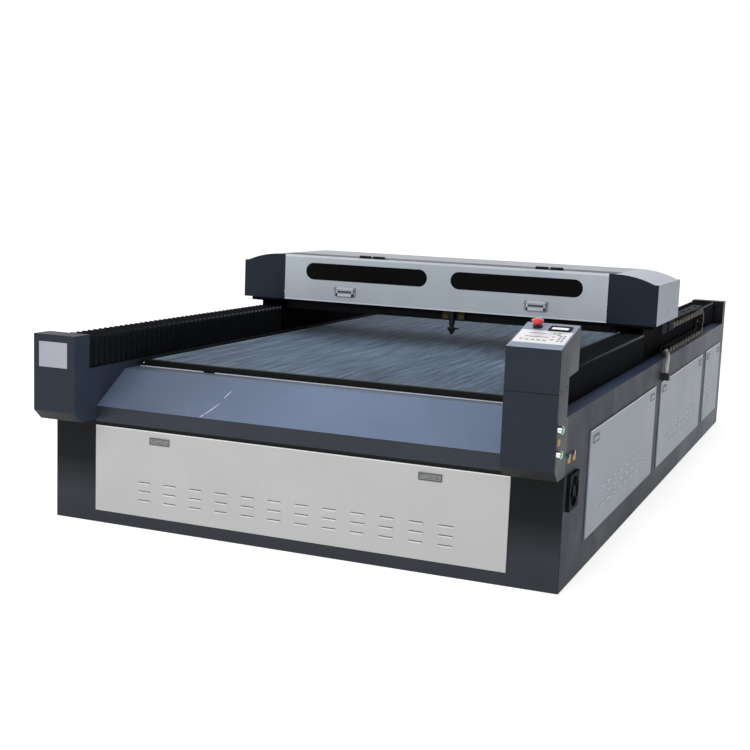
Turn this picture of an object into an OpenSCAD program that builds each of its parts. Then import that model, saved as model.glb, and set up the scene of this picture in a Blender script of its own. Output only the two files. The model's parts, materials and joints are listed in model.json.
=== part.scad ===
// Flat-bed laser cutting machine with a travelling gantry
// Lengths in mm. x runs across the machine, y from front to back, z up from the floor.
// Pieces are drawn with y counted from the front skin, then moved so the base is centred.

/* [Base] */
// Width of the base over its side skins
base_w = 2200; // [2100:10:2600]
// Length of the base from front skin to rear skin
base_l = 4140; // [4100:10:5000]
// Height of the deck that the bellows lie on
deck_z = 660; // [650:5:720]
// Width of each side housing
housing_w = 200; // [190:1:230]
// Width of the ledge outside the bellows
ledge_w = 60; // [58:1:70]
// Thickness of the sheet metal
sheet = 3; // [2:0.5:4]
// Height of the underside of the front end boxes
nose_z0 = 441; // [438:1:460]
// Reach of the front end boxes in front of the base
nose_out = 157; // [145:1:180]
// Height of the end boxes above the deck
box_h = 140; // [135:1:170]
// Length of the end boxes above the deck
box_d = 103; // [98:1:125]

/* [Apron and table] */
// Lower edge of the apron's lip
lip_z0 = 432; // [425:1:436]
// Height of the apron's lip
lip_h = 65; // [40:1:80]
// Horizontal run of the apron's slope
slope_run = 207; // [150:1:240]
// Distance from front skin to the table's edge bar
table_y = 309; // [280:1:400]
// Height of the table over the apron's flat strip
table_h = 30; // [24:1:40]
// Width of the table's edge bars
bar_w = 30; // [20:1:40]
// Spacing of the table's ribs
rib_pitch = 15; // [15:0.5:30]
// Thickness of the table's ribs
rib_t = 4; // [2:0.5:6]

/* [Panels and doors] */
// Distance from each side skin to the front panel
panel_side = 200; // [150:1:300]
// Height of the front panel
panel_h = 365; // [320:1:372]
// Height of the front panel's lower edge
panel_z0 = 52; // [45:1:58]
// Height of the side doors' lower edge
door_z0 = 116; // [80:1:120]
// Height of the side doors
door_h = 431; // [380:1:440]
// Distance from front skin to the first side door
door_y = 363; // [330:1:380]
// Distance from the last side door to the rear skin
door_back = 157; // [140:1:260]
// Length of the short side door
short_door_l = 600; // [400:5:610]
// Width of the pillars between side doors
pillar_w = 140; // [120:1:145]
// Width of a louvre slot
louvre_w = 58; // [40:1:70]
// Spacing of the louvre columns
louvre_pitch = 120; // [100:1:130]
// Spacing of the louvre rows
louvre_row = 38; // [30:1:42]
// Width of a latch
latch_w = 95; // [70:1:110]
// Height of a latch
latch_h = 30; // [24:1:36]

/* [Gantry] */
// Distance from front skin to the gantry's front at rest
gantry_y = 1639; // [1500:1:1750]
// Length of the gantry along the base
gantry_d = 603; // [580:1:660]
// Height of the gantry's underside above the deck
gantry_lift = 182; // [178:1:200]
// Height of the gantry's hood
gantry_h = 236; // [220:1:280]
// Width of the end caps
cap_w = 210; // [205:1:225]
// Fall of the caps' arched top towards the ends
cap_fall = 41; // [20:1:60]
// Distance from each end cap's inner edge to the front flap
flap_side = 30; // [25:1:70]
// Distance from a flap window to the flap's end
window_side = 122; // [100:1:200]
// Height of a flap window
window_h = 87; // [60:1:100]
// Width of a flap handle
handle_w = 120; // [90:1:140]
// Height of a flap handle
handle_h = 48; // [40:1:56]
// Rest place of the laser head across the gantry
head_x = 65; // [-200:1:200]
// Outer radius of the laser head's tube
head_r = 15; // [13:0.5:18]
// Height of the nozzle's tip above the deck
nozzle_gap = 59; // [40:1:62]

/* [Console] */
// Length of the console from front to back
console_d = 264; // [240:1:300]
// Height of the console's front edge above the deck
console_front_h = 252; // [240:1:280]
// Rise of the console's top from front to back
console_rise = 62; // [30:1:90]
// Height of the seam between pedestal and console above the deck
seam_h = 96; // [94:1:120]
// Length of the pedestal above the deck
pedestal_d = 132; // [125:1:150]

/* [Bellows and drag chain] */
// Spacing of the bellows' folds
fold_pitch = 40; // [30:1:60]
// Depth of the bellows' folds
fold_d = 18; // [10:1:20]
// Gap between the bellows' crests and the top of the end boxes
bellows_drop = 6; // [4:1:12]
// Distance between two chain pins
chain_pitch = 48; // [46:1:50]
// Height of a chain link
link_h = 28; // [24:1:28]
// Width of the drag chain
chain_w = 42; // [36:1:44]
// Radius of the conduit that leaves the chain
hose_r = 10; // [8:0.5:11]

/* [Hidden] */
$fn = 48;

// Overrun of cuts, seat clearance and radial running clearance
over = 2;
clear = 0.4;
run_fit = 0.05;

// Main planes of the base
half_w = base_w / 2;
bay_x = half_w - housing_w;
bellows_w = housing_w - ledge_w;
bellows_x1 = half_w - ledge_w;
box_top = deck_z + box_h;
apron_z = deck_z - table_h;

// Floor frame: tubes, posts and the beams under the table
tube = 50;
post_w = 80;
post_inset = 30;
weld_gap = 0.2;
post_x0 = bay_x + post_inset;
door_l = (base_l - door_y - door_back - short_door_l - 2 * pillar_w) / 2;
door2_y = door_y + door_l + pillar_w;
door3_y = door2_y + door_l + pillar_w;
door_end = door3_y + short_door_l;
pillar_ys = [door2_y - pillar_w / 2, door3_y - pillar_w / 2];
post_ys = [door_y / 2, pillar_ys[0], pillar_ys[1], (door_end + base_l) / 2];
cross_n = 5;
cross_z0 = apron_z - tube;
cross_y0 = table_y + bar_w + tube;
cross_step = (base_l - 2 * cross_y0 - tube) / (cross_n - 1);
beam_wall = 6;

// Front end boxes: chamfer of the nose
cham_y = 47;
cham_z = 42;

// Table: side gap, rim thickness, border of the rib field and how far ribs lie under the bars' top
table_gap = 12;
rim_t = 4;
rim_lip = 2;
rib_border = 14;
rib_drop = 2;
core_x = bay_x - table_gap - bar_w - clear;
core_y0 = table_y + bar_w + clear;
core_l = base_l - 2 * core_y0;

// Hopper under the table
hopper_side = 120;
hopper_x = bay_x - hopper_side;
hopper_foot_x = 150;
hopper_flange = 40;
hopper_z0 = 150;
hopper_y0 = cross_y0 - tube;

// Electrical plate and the units on it, each as shares of the plate: y, z, length, height, depth
plate_z0 = 130;
plate_h = 290;
unit_depth = 130;
unit_shares = [
    [0.14, 0.12, 0.26, 0.62, 0.95],
    [0.46, 0.3, 0.14, 0.5, 0.4],
    [0.66, 0.16, 0.07, 0.66, 0.8],
    [0.78, 0.16, 0.07, 0.66, 0.8]
];

// Doors and panels: outer sheet, fold depth, overlap on the skin, rim and bottom bead
panel_w = base_w - 2 * panel_side;
door_fold = 5;
door_sheet = 2;
door_lap = 12;
door_rim = 20;
rim_gap = 4;
bead_r = door_fold / 2;
louvre_slot = 8;
louvre_cut = 4;
louvre_lip = 3;
louvre_z = 68;
side_louvre_z = 90;
louvre_rows = 3;
louvre_side = 211;
side_louvre_side = 235;
short_louvre_side = 150;
front_louvre_n = floor((panel_w - 2 * louvre_side) / louvre_pitch) + 1;
side_louvre_n = floor((door_l - 2 * side_louvre_side) / louvre_pitch) + 1;
short_louvre_n = floor((short_door_l - 2 * short_louvre_side) / louvre_pitch) + 1;
latch_top = 26;
latch_in = 310;
latch_x = panel_w / 2 - latch_in;
side_latch_inset = 90;
latch_proud = 3;
latch_rim = 7;
paddle_t = 5;
paddle_gap = 1;
paddle_pin_r = 2;
paddle_pin_l = 3;
seam_w = 2;
seam_d = 1;

// Rails, belts and drives along the base
rail_w = 24;
rail_h = 22;
rail_inset = 20;
rail_x = bay_x + bellows_w / 2;
belt_w = 15;
belt_t = 3;
belt_off = 28;
belt_x = rail_x + belt_off;
belt_lift = 55;
belt_z = deck_z + belt_lift;
pulley_r = 28;
flange_r = 30;
axle_r = 6;
idler_y = -nose_out + box_d / 2;
drive_y = base_l - box_d / 2;
motor_w = 80;
motor_l = 70;
motor_gap = 8;
bracket_t = 6;
bracket_gap = 5;
bracket_drop = 50;

// Gantry planes
gantry_z0 = deck_z + gantry_lift;
gantry_top = gantry_z0 + gantry_h;
gantry_y1 = gantry_y + gantry_d;
hood_x = half_w - cap_w;
cap_flat = 20;
cap_run = cap_w - cap_flat;
cap_r = (cap_run * cap_run + cap_fall * cap_fall) / (2 * cap_fall);
cap_lip = 27;
cap_slot_w = 5;
cap_slot_h = 26;
cap_slot_z = 54;

// Drag chain: path, links and trough
trough_t = 2;
trough_gap = 5;
trough_wall = 30;
bend_n = 4;
run_n = 22;
chain_r = chain_pitch / (2 * sin(90 / bend_n));
trough_x0 = bellows_x1 + trough_gap;
chain_x = trough_x0 + trough_t + clear + chain_w / 2;
chain_z = deck_z + trough_t + clear + link_h / 2;
chain_off = 511;
chain_y0 = gantry_y + chain_off;
chain_y1 = chain_y0 + run_n * chain_pitch;
chain_top = chain_z + 2 * chain_r + link_h / 2;
chain_pins = concat(
    [for (i = [0:run_n]) [chain_y0 + i * chain_pitch, chain_z]],
    [for (k = [1:bend_n]) [
        chain_y1 + chain_r * sin(k * 180 / bend_n),
        chain_z + chain_r * (1 - cos(k * 180 / bend_n))
    ]],
    [for (i = [1:run_n]) [chain_y1 - i * chain_pitch, chain_z + 2 * chain_r]]
);
plate_link_t = 3;
link_gap = 0.4;
link_bar = 3;
link_bar_l = 16;
arm_t = 4;
arm_x0 = trough_x0;
arm_z0 = gantry_z0 - clear - arm_t;
arm_y0 = 14;
arm_l = 1450;
arm_slot_l = 90;
arm_slot_w = 14;
arm_slot_shares = [0.5, 0.64, 0.78, 0.92];
arm_lug = 30;
arm_lug_t = 5;
tie_z0 = chain_top + clear;
hanger_l = 130;
hanger_gap = 60;

// Trucks that carry the gantry
truck_t = 12;
truck_inset = 50;
neck_inset = 70;
neck_in = 14;
truck_out = 21;
truck_lift = 6;
truck_y0 = gantry_y + neck_inset;
truck_y1 = gantry_y1 - neck_inset;
truck_z0 = tie_z0 + arm_t + clear;
belt_room = 4;

// Bellows
bellows_wall = 1.5;
bellows_side = 2;
bellows_top = box_top - bellows_drop;

// Cross beam, shelf and drive of the head
beam_off = 101;
beam_d = 120;
beam_h = 114;
beam_y0 = gantry_y + beam_off;
beam_y1 = beam_y0 + beam_d;
beam_drop = 56;
xbeam_z0 = gantry_z0 - beam_drop;
shelf_t = 6;
shelf_off = 341;
shelf_y0 = gantry_y + shelf_off;
shelf_z = gantry_z0 - truck_t;
upstand = 44;
tie_w = 60;
tie_share = 0.68;
x_rail_w = 24;
x_rail_t = 15;
x_rail_up = 14;
x_rail_z = xbeam_z0 + x_rail_up;
x_end = 40;
x_pulley_r = 18;
x_axle_r = 4;
x_belt_w = 12;
x_belt_gap = 4;
x_belt_up = 82;
x_belt_z = xbeam_z0 + x_belt_up;
x_belt_y0 = beam_y0 - x_belt_gap - x_belt_w;
x_drive_x = hood_x - x_end;
x_motor_w = 56;
x_motor_l = 76;

// Laser head and its carriage
carriage_w = 120;
carriage_h = 190;
carriage_low_h = 70;
carriage_t = 10;
carriage_gap = 26;
carriage_y1 = beam_y0 - carriage_gap;
carriage_y0 = carriage_y1 - carriage_t;
head_off = 18;
head_y = carriage_y0 - head_off;
rail_jaw = 6;
carriage_z0 = x_rail_z - clear - rail_jaw;
jaw_gap = 3;
mirror_box = 48;
mirror_z = carriage_z0 + carriage_h - mirror_box / 2;
head_tube_z0 = xbeam_z0 - head_r;
head_wall = 3;
lens_r = head_r - head_wall;
nozzle_z0 = deck_z + nozzle_gap;
cone_h = 26;
cone_r = 20;
tip_r = 3;
collar_r = 22;
collar_h = 12;
bore_tip_r = 1.5;
lens_bore_r = 8;
lens_up = 100;
fitting_r = 4;
fitting_l = 16;

// Laser tube, its clamps and the beam mirrors
glass_r = 40;
glass_side = 150;
glass_l = 2 * (hood_x - glass_side);
glass_off = 441;
glass_y = gantry_y + glass_off;
glass_cap_r = 30;
glass_cap_l = 40;
clamp_w = 40;
clamp_wall = 12;
clamp_share = 0.28;
mirror_r = 12;
mirror_t = 4;
mirror_plate = 8;
mirror_hold = 44;
mirror_in = 40;
mirror_x = -hood_x + mirror_in;

// Front flap, its windows, hinges and handles
flap_t = 3;
flap_top_d = 15;
flap_gap = 10;
flap_low_d = 10;
window_gap = 126;
flap_w = 2 * (hood_x - flap_side);
window_l = (flap_w - window_gap) / 2 - window_side;
window_up = 155;
pane_t = 3;
pane_lap = 8;
hinge_r = 7;
hinge_pin_r = 3;
hinge_w = 62;
hinge_mid_share = 0.4;
hinge_leaf_t = 3;
hinge_leaf_l = 34;
hinge_pair = 74;
hinge_x_shares = [-0.218, 0.326];
hinge_y = gantry_y + flap_t + flap_top_d + flap_gap / 2;
hinge_z = gantry_top + hinge_r;
hinge_xs = [for (s = hinge_x_shares, k = [-1, 1]) s * flap_w + k * hinge_pair / 2];
handle_x_share = 0.297;
handle_up = 58;
handle_t = 3;
handle_pin_r = 3;
handle_rod_r = 4;
handle_ear = 10;
handle_ear_w = 12;
handle_drop = 30;
handle_grip_h = 14;

// Console, its controls and the right side's switches
console_z1 = deck_z + console_front_h;
console_y1 = console_d - nose_out;
seam_z = deck_z + seam_h;
console_tilt = atan2(console_rise, console_d);
console_l = sqrt(console_d * console_d + console_rise * console_rise);
over_up = 4;
over_z0 = box_top + over_up;
over_rise = 9;
plate_edge = 1;
plate_t = 2;
key_t = 1.2;
key_margin = 6;
key_y_share = 0.175;
key_l_share = 0.5;
lcd_w = 80;
lcd_l = 48;
lcd_margin = 20;
lcd_y_share = 0.693;
lcd_t = 5;
lcd_frame = 8;
lcd_recess = 2;
estop_x_share = -0.233;
estop_y_share = 0.8;
estop_r = 22;
estop_neck_r = 8;
estop_collar_r = 16.5;
estop_collar_h = 10;
estop_travel = 6;
estop_cone_h = 9;
estop_rim_h = 3;
estop_dome_h = 6;
estop_stem_l = 30;
bezel_r = 15;
bezel_proud = 15;
bezel_barrel_r = 13;
bezel_l = 24;
button_r = 12;
button_proud = 4;
button_travel = 3;
button_in = 18;
button_down = 27;
button_step = 87;
button_y = -nose_out + button_in;
button_places = [[button_y, deck_z - button_down], [button_y, deck_z - button_down - button_step]];
port_r = 5;
port_rim = 2;
port_proud = 10;
port_depth = 12;
port_bore_share = 0.6;
port_y = 14;
port_step = 77;
port_down = 147;
port_places = [[port_y, deck_z - port_down], [port_y + port_step, deck_z - port_down]];
fan_y = 110;
fan_z = 367;
fan_w = 120;
fan_d = 38;
fan_bore_r = 57;
fan_guard_w = 136;
fan_guard_d = 12;
fan_guard_bar = 7;
fan_guard_plate = 3;
fan_hub_r = 20;
fan_pin_r = 3;
fan_strut = 8;
fan_strut_t = 5;
fan_tip_gap = 3;
fan_blade_n = 7;
fan_blade_t = 2.5;
fan_blade_tilt = 35;
spigot_r = 75;
spigot_l = 60;
spigot_z = 250;

// Route of the conduit from the chain's fixed end to its elbow gland, from the chain's end on the deck
hose_route = [
    [-27, -6, 16], [-27, -40, 16], [-26, -75, 16], [-19, -110, 18], [-7, -139, 20], [5, -166, 20],
    [13, -197, 14], [17, -223, -3], [18, -240, -29], [18, -246, -60], [18, -246, -70], [18, -246, -82]
];
hose_sides = 10;
hose_steps = 3;
hose_end = hose_route[len(hose_route) - 1];
gland_y = chain_y0 + hose_end[1];
gland_w = 36;
gland_h = 30;
gland_bore = 8;
gland_fit = 0.8;
gland_wall = 5;
gland_collar_h = 6;
gland_top = deck_z + hose_end[2] + gland_bore;
gland_z = gland_top - gland_h / 2;
gland_stub_r = 11;

// Paint and material colours
paint = "#3c414b";
light = "#bebebc";
pale = "#cdd0d8";
black = "#141416";
steel = "#8a9098";
alu = "#8795a5";

// Moves a piece so that the base is centred over the origin
module place() {
    translate([0, -base_l / 2, 0]) children();
}

// A piece and its mirror image on the other side
module both_sides() {
    children();
    mirror([1, 0, 0]) children();
}

// A block by its low corner and its sizes
module bar(x0, y0, z0, dx, dy, dz) {
    translate([x0, y0, z0]) cube([dx, dy, dz]);
}

// An outline in the y-z plane drawn out along x
module along_x(x0, len) {
    translate([x0, 0, 0]) rotate([90, 0, 90]) linear_extrude(height = len) children();
}

// An outline in the x-z plane drawn out along y
module along_y(y0, len) {
    translate([0, y0 + len, 0]) rotate([90, 0, 0]) linear_extrude(height = len) children();
}

// A round rod along x or y from a start point
module rod_x(x0, y, z, len, r) {
    translate([x0, y, z]) rotate([0, 90, 0]) cylinder(h = len, r = r);
}
module rod_y(x, y0, z, len, r) {
    translate([x, y0, z]) rotate([-90, 0, 0]) cylinder(h = len, r = r);
}

// A slot outline with round ends, lying along the first axis and centred
module slot_outline(len, w) {
    square([len - w, w], center = true);
    translate([-(len - w) / 2, 0]) circle(d = w);
    translate([(len - w) / 2, 0]) circle(d = w);
}

// A polygon's points moved inwards by a wall, for outlines that run anticlockwise
function unit(v) = v / norm(v);
function inward(a, b) = let (d = unit(b - a)) [-d[1], d[0]];
function inset(p, t) = let (n = len(p)) [
    for (i = [0:n - 1])
        let (
            n1 = inward(p[(i + n - 1) % n], p[i]),
            n2 = inward(p[i], p[(i + 1) % n])
        )
        p[i] + (n1 + n2) * t / (1 + n1 * n2)
];

// Floor frame with posts, and the beams that carry the table
module base_frame() {
    color(paint) place() {
        both_sides() bar(post_x0, sheet, 0, post_w, base_l - 2 * sheet, tube);
        for (y = concat(post_ys, [base_l / 2]))
            bar(-post_x0 + weld_gap, y - tube / 2, 0, 2 * (post_x0 - weld_gap), tube, tube);
        for (y = post_ys)
            both_sides()
                bar(post_x0, y - post_w / 2, tube + weld_gap, post_w, post_w, nose_z0 - tube - weld_gap);
        for (i = [0:cross_n - 1])
            bar(-bay_x, cross_y0 + i * cross_step, cross_z0, 2 * bay_x, tube, tube);
    }
}

// Front skin with the opening behind the louvred panel
module front_skin() {
    color(paint) place() difference() {
        bar(-half_w + sheet, 0, 0, base_w - 2 * sheet, sheet, nose_z0);
        bar(
            -panel_w / 2 + door_lap, -over, panel_z0 + door_lap,
            panel_w - 2 * door_lap, sheet + 2 * over, panel_h - 2 * door_lap
        );
    }
}

// Side skin with its ledge, door openings and seams
module side_skin() {
    difference() {
        union() {
            bar(half_w - sheet, 0, 0, sheet, base_l, deck_z);
            bar(bellows_x1, 0, deck_z - sheet, ledge_w, base_l, sheet);
        }
        for (d = [[door_y, door_l], [door2_y, door_l], [door3_y, short_door_l]])
            bar(
                half_w - sheet - over, d[0] + door_lap, door_z0 + door_lap,
                sheet + 2 * over, d[1] - 2 * door_lap, door_h - 2 * door_lap
            );
        for (y = pillar_ys)
            bar(half_w - seam_d, y - seam_w / 2, -over, seam_d + over, seam_w, deck_z + 2 * over);
    }
}

// Right skin, also cut for fan, ports and conduit
module right_skin() {
    color(paint) place() difference() {
        side_skin();
        rod_x(half_w - sheet - over, fan_y, fan_z, sheet + 2 * over, fan_bore_r);
        for (p = port_places)
            rod_x(half_w - sheet - over, p[0], p[1], sheet + 2 * over, port_r + clear);
        rod_x(half_w - sheet - over, gland_y, gland_z, sheet + 2 * over, gland_stub_r);
    }
}

module left_skin() {
    color(paint) place() mirror([1, 0, 0]) side_skin();
}

// Rear skin with the exhaust spigot
module rear_skin() {
    color(paint) place() difference() {
        union() {
            bar(-half_w + sheet, base_l - sheet, 0, base_w - 2 * sheet, sheet, nose_z0);
            rod_y(0, base_l - sheet, spigot_z, spigot_l + sheet, spigot_r);
        }
        rod_y(0, base_l - sheet - over, spigot_z, spigot_l + sheet + 2 * over, spigot_r - sheet);
    }
}

// Slanted hood of one louvre slot
module louvre_hood() {
    along_x(-louvre_w / 2, louvre_w)
        polygon([[0, 0], [-louvre_lip, -louvre_slot / 2], [0, -louvre_slot]]);
}

// A louvred panel that faces the front, from its low corner: folded sheet, rim and bottom bead
module louvred_panel(w, h, cols, low) {
    first = (w - (cols - 1) * louvre_pitch) / 2;
    difference() {
        union() {
            bar(0, -clear - door_fold, bead_r, w, door_fold, h - bead_r);
            rod_x(0, -clear - bead_r, bead_r, w, bead_r);
            bar(
                door_lap + rim_gap, -clear - door_fold, door_lap + rim_gap,
                w - 2 * (door_lap + rim_gap), door_fold + clear + door_rim, h - 2 * (door_lap + rim_gap)
            );
        }
        bar(
            door_lap + rim_gap + door_sheet, -clear - door_fold + door_sheet, door_lap + rim_gap + door_sheet,
            w - 2 * (door_lap + rim_gap + door_sheet), door_fold + door_rim + over,
            h - 2 * (door_lap + rim_gap + door_sheet)
        );
        for (c = [0:cols - 1], r = [0:louvre_rows - 1])
            translate([first + c * louvre_pitch, -clear - door_fold - over, low + r * louvre_row])
                bar(-louvre_w / 2, 0, 0, louvre_w, door_sheet + 2 * over, louvre_cut);
    }
    for (c = [0:cols - 1], r = [0:louvre_rows - 1])
        translate([first + c * louvre_pitch, -clear - door_fold, low + r * louvre_row]) louvre_hood();
}

// Frame of one latch, from its centre on the panel's face
module latch_frame() {
    difference() {
        bar(-latch_w / 2, -latch_proud, -latch_h / 2, latch_w, latch_proud + door_sheet, latch_h);
        bar(
            -latch_w / 2 + latch_rim, -latch_proud - over, -latch_h / 2 + latch_rim,
            latch_w - 2 * latch_rim, latch_proud + door_sheet + 2 * over, latch_h - 2 * latch_rim
        );
        rod_x(
            -latch_w / 2 + latch_rim - paddle_pin_l - clear, paddle_y, paddle_z,
            latch_w - 2 * latch_rim + 2 * (paddle_pin_l + clear), paddle_pin_r + run_fit
        );
    }
}

// Paddle of one latch with its pivot pins
paddle_y = -latch_proud / 2 + door_sheet / 2;
paddle_z = latch_h / 2 - latch_rim - paddle_pin_r - clear;
module latch_paddle() {
    bar(
        -latch_w / 2 + latch_rim + clear, paddle_y - paddle_t / 2, -latch_h / 2 + latch_rim + paddle_gap,
        latch_w - 2 * (latch_rim + clear), paddle_t, paddle_z + latch_h / 2 - latch_rim - paddle_gap
    );
    rod_x(
        -latch_w / 2 + latch_rim - paddle_pin_l, paddle_y, paddle_z,
        latch_w - 2 * latch_rim + 2 * paddle_pin_l, paddle_pin_r
    );
}

// A side door from its front end, with its two latches
module side_door(y0, len, cols) {
    face_y = -clear - door_fold;
    translate([half_w, y0, door_z0]) rotate([0, 0, 90]) {
        difference() {
            louvred_panel(len, door_h, cols, side_louvre_z);
            for (x = [side_latch_inset, len - side_latch_inset])
                bar(
                    x - latch_w / 2 + latch_rim, face_y - over, door_h - latch_top - latch_h + latch_rim,
                    latch_w - 2 * latch_rim, door_sheet + 2 * over, latch_h - 2 * latch_rim
                );
        }
        for (x = [side_latch_inset, len - side_latch_inset])
            translate([x, face_y, door_h - latch_top - latch_h / 2])
                bar(-latch_w / 2, -latch_proud, -latch_h / 2, latch_w, latch_proud + door_sheet, latch_h);
    }
}
module right_door_1() {
    color(light) place() side_door(door_y, door_l, side_louvre_n);
}
module right_door_2() {
    color(light) place() side_door(door2_y, door_l, side_louvre_n);
}
module right_door_3() {
    color(light) place() side_door(door3_y, short_door_l, short_louvre_n);
}

// Panels screwed on the left side
module left_panels() {
    color(light) place() mirror([1, 0, 0]) {
        side_door(door_y, door_l, side_louvre_n);
        side_door(door2_y, door_l, side_louvre_n);
        side_door(door3_y, short_door_l, short_louvre_n);
    }
}

// Front panel with the frames of its two latches
front_latch_z = panel_z0 + panel_h - latch_top - latch_h / 2;
module front_latch_places() {
    for (s = [-1, 1])
        translate([s * latch_x, -clear - door_fold, front_latch_z]) children();
}
module front_door() {
    color(light) place() {
        difference() {
            translate([-panel_w / 2, 0, panel_z0]) louvred_panel(panel_w, panel_h, front_louvre_n, louvre_z);
            front_latch_places()
                bar(
                    -latch_w / 2 + latch_rim, -over, -latch_h / 2 + latch_rim,
                    latch_w - 2 * latch_rim, door_fold + over, latch_h - 2 * latch_rim
                );
            front_latch_places()
                rod_x(
                    -latch_w / 2 + latch_rim - paddle_pin_l - clear, paddle_y, paddle_z,
                    latch_w - 2 * latch_rim + 2 * (paddle_pin_l + clear), paddle_pin_r + run_fit
                );
        }
        front_latch_places() latch_frame();
    }
}
module front_latches() {
    color(steel) place() front_latch_places() latch_paddle();
}

// Sloped sheets in front of and behind the table
lip_z1 = lip_z0 + lip_h;
module aprons() {
    rise = (apron_z - lip_z1) / (slope_run + sheet);
    color("#64708a") place()
        for (back = [0, 1])
            translate([0, back * base_l, 0]) mirror([0, back, 0]) along_x(-bay_x, 2 * bay_x)
                polygon([
                    [-sheet, lip_z0], [0, lip_z0], [0, apron_z - sheet - rise * slope_run],
                    [slope_run, apron_z - sheet], [table_y + bar_w, apron_z - sheet],
                    [table_y + bar_w, apron_z], [slope_run, apron_z], [-sheet, lip_z1]
                ]);
}

// Hollow beams under the bellows
module rail_beams() {
    color(paint) place() both_sides() difference() {
        bar(bay_x, 0, nose_z0, bellows_w, base_l, deck_z - nose_z0);
        bar(
            bay_x + beam_wall, -over, nose_z0 + beam_wall,
            bellows_w - 2 * beam_wall, base_l + 2 * over, deck_z - nose_z0 - 2 * beam_wall
        );
    }
}

// A front end box: nose below the deck, hollow box above it, and the bracket of the belt's idler
module front_box(len, top) {
    low = [
        [sheet + over, nose_z0], [sheet + over, deck_z], [-nose_out, deck_z],
        [-nose_out, nose_z0 + cham_z], [-nose_out + cham_y, nose_z0]
    ];
    rear_y = len - nose_out;
    difference() {
        union() {
            along_x(bay_x, housing_w)
                polygon([
                    [0, nose_z0], [0, deck_z], [rear_y, deck_z], [rear_y, top], [-nose_out, top],
                    [-nose_out, nose_z0 + cham_z], [-nose_out + cham_y, nose_z0]
                ]);
        }
        along_x(bay_x + sheet, housing_w - 2 * sheet) polygon(inset(low, sheet));
        bar(
            bay_x + sheet, -nose_out + sheet, deck_z - sheet - over,
            housing_w - 2 * sheet, len - 2 * sheet, top - deck_z + over
        );
        bar(
            bay_x + sheet, rear_y - sheet - over, deck_z,
            bellows_w - sheet, sheet + 2 * over, top - deck_z - sheet
        );
    }
    difference() {
        bar(
            belt_x + belt_w / 2 + bracket_gap, -nose_out + sheet, belt_z - bracket_drop,
            bracket_t, box_d - 2 * sheet, 2 * bracket_drop - bracket_drop / 2
        );
        rod_x(
            belt_x + belt_w / 2 + bracket_gap - over, idler_y, belt_z,
            bracket_t + 2 * over, axle_r + run_fit
        );
    }
}

// A rear end box on the deck, open towards the bellows
module rear_box() {
    y0 = base_l - box_d;
    difference() {
        bar(bay_x, y0, deck_z, housing_w, box_d, box_h);
        bar(
            bay_x + sheet, y0 + sheet, deck_z - over,
            housing_w - 2 * sheet, box_d - 2 * sheet, box_h - sheet + over
        );
        bar(
            bay_x + sheet, y0 - over, deck_z - over,
            bellows_w - sheet, sheet + 2 * over, box_h - sheet + over
        );
    }
}
module end_boxes() {
    color(paint) place() {
        mirror([1, 0, 0]) front_box(box_d, box_top);
        both_sides() rear_box();
    }
}

// Pedestal of the console on the right, bored for the push buttons
module console_pedestal() {
    color(paint) place() difference() {
        front_box(pedestal_d, seam_z);
        for (p = button_places)
            rod_x(half_w - sheet - over, p[0], p[1], sheet + 2 * over, bezel_barrel_r);
    }
}

// Rails, belts, motors and pulleys of the long axis
module y_rails() {
    color(steel) place() both_sides()
        bar(rail_x - rail_w / 2, rail_inset, deck_z, rail_w, base_l - 2 * rail_inset, rail_h);
}

// A belt's closed loop around two pulleys, centred on the first
module belt_loop(span, r) {
    difference() {
        loop_outline(span, r + clear + belt_t);
        loop_outline(span, r + clear);
    }
}
module loop_outline(span, r) {
    circle(r = r);
    translate([span, 0]) circle(r = r);
    translate([0, -r]) square([span, 2 * r]);
}
module y_belts() {
    color(black) place() both_sides()
        along_x(belt_x - belt_w / 2, belt_w)
            translate([idler_y, belt_z]) belt_loop(drive_y - idler_y, pulley_r);
}
module y_motors() {
    color(black) place() both_sides() difference() {
        union() {
            bar(
                belt_x + belt_w / 2 + motor_gap, drive_y - motor_w / 2, belt_z - motor_w / 2,
                motor_l, motor_w, motor_w
            );
            bar(
                belt_x + belt_w / 2 + motor_gap, drive_y - motor_w / 2, deck_z,
                motor_l, motor_w, belt_z - deck_z
            );
        }
        rod_x(belt_x + belt_w / 2 + motor_gap - over, drive_y, belt_z, motor_l / 2, axle_r + run_fit);
    }
}

// A pulley on its axle, along x
module belt_pulley(y, reach) {
    rod_x(belt_x - belt_w / 2 - clear, y, belt_z, belt_w + clear, pulley_r);
    rod_x(belt_x - belt_w / 2 - clear - belt_t, y, belt_z, belt_t, flange_r);
    rod_x(belt_x - belt_w / 2, y, belt_z, belt_w + reach, axle_r);
}
module y_pulleys() {
    color(steel) place() both_sides() belt_pulley(drive_y, motor_gap + motor_l / 4);
}
module y_idlers() {
    color(steel) place() both_sides() belt_pulley(idler_y, bracket_gap + bracket_t);
}

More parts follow.
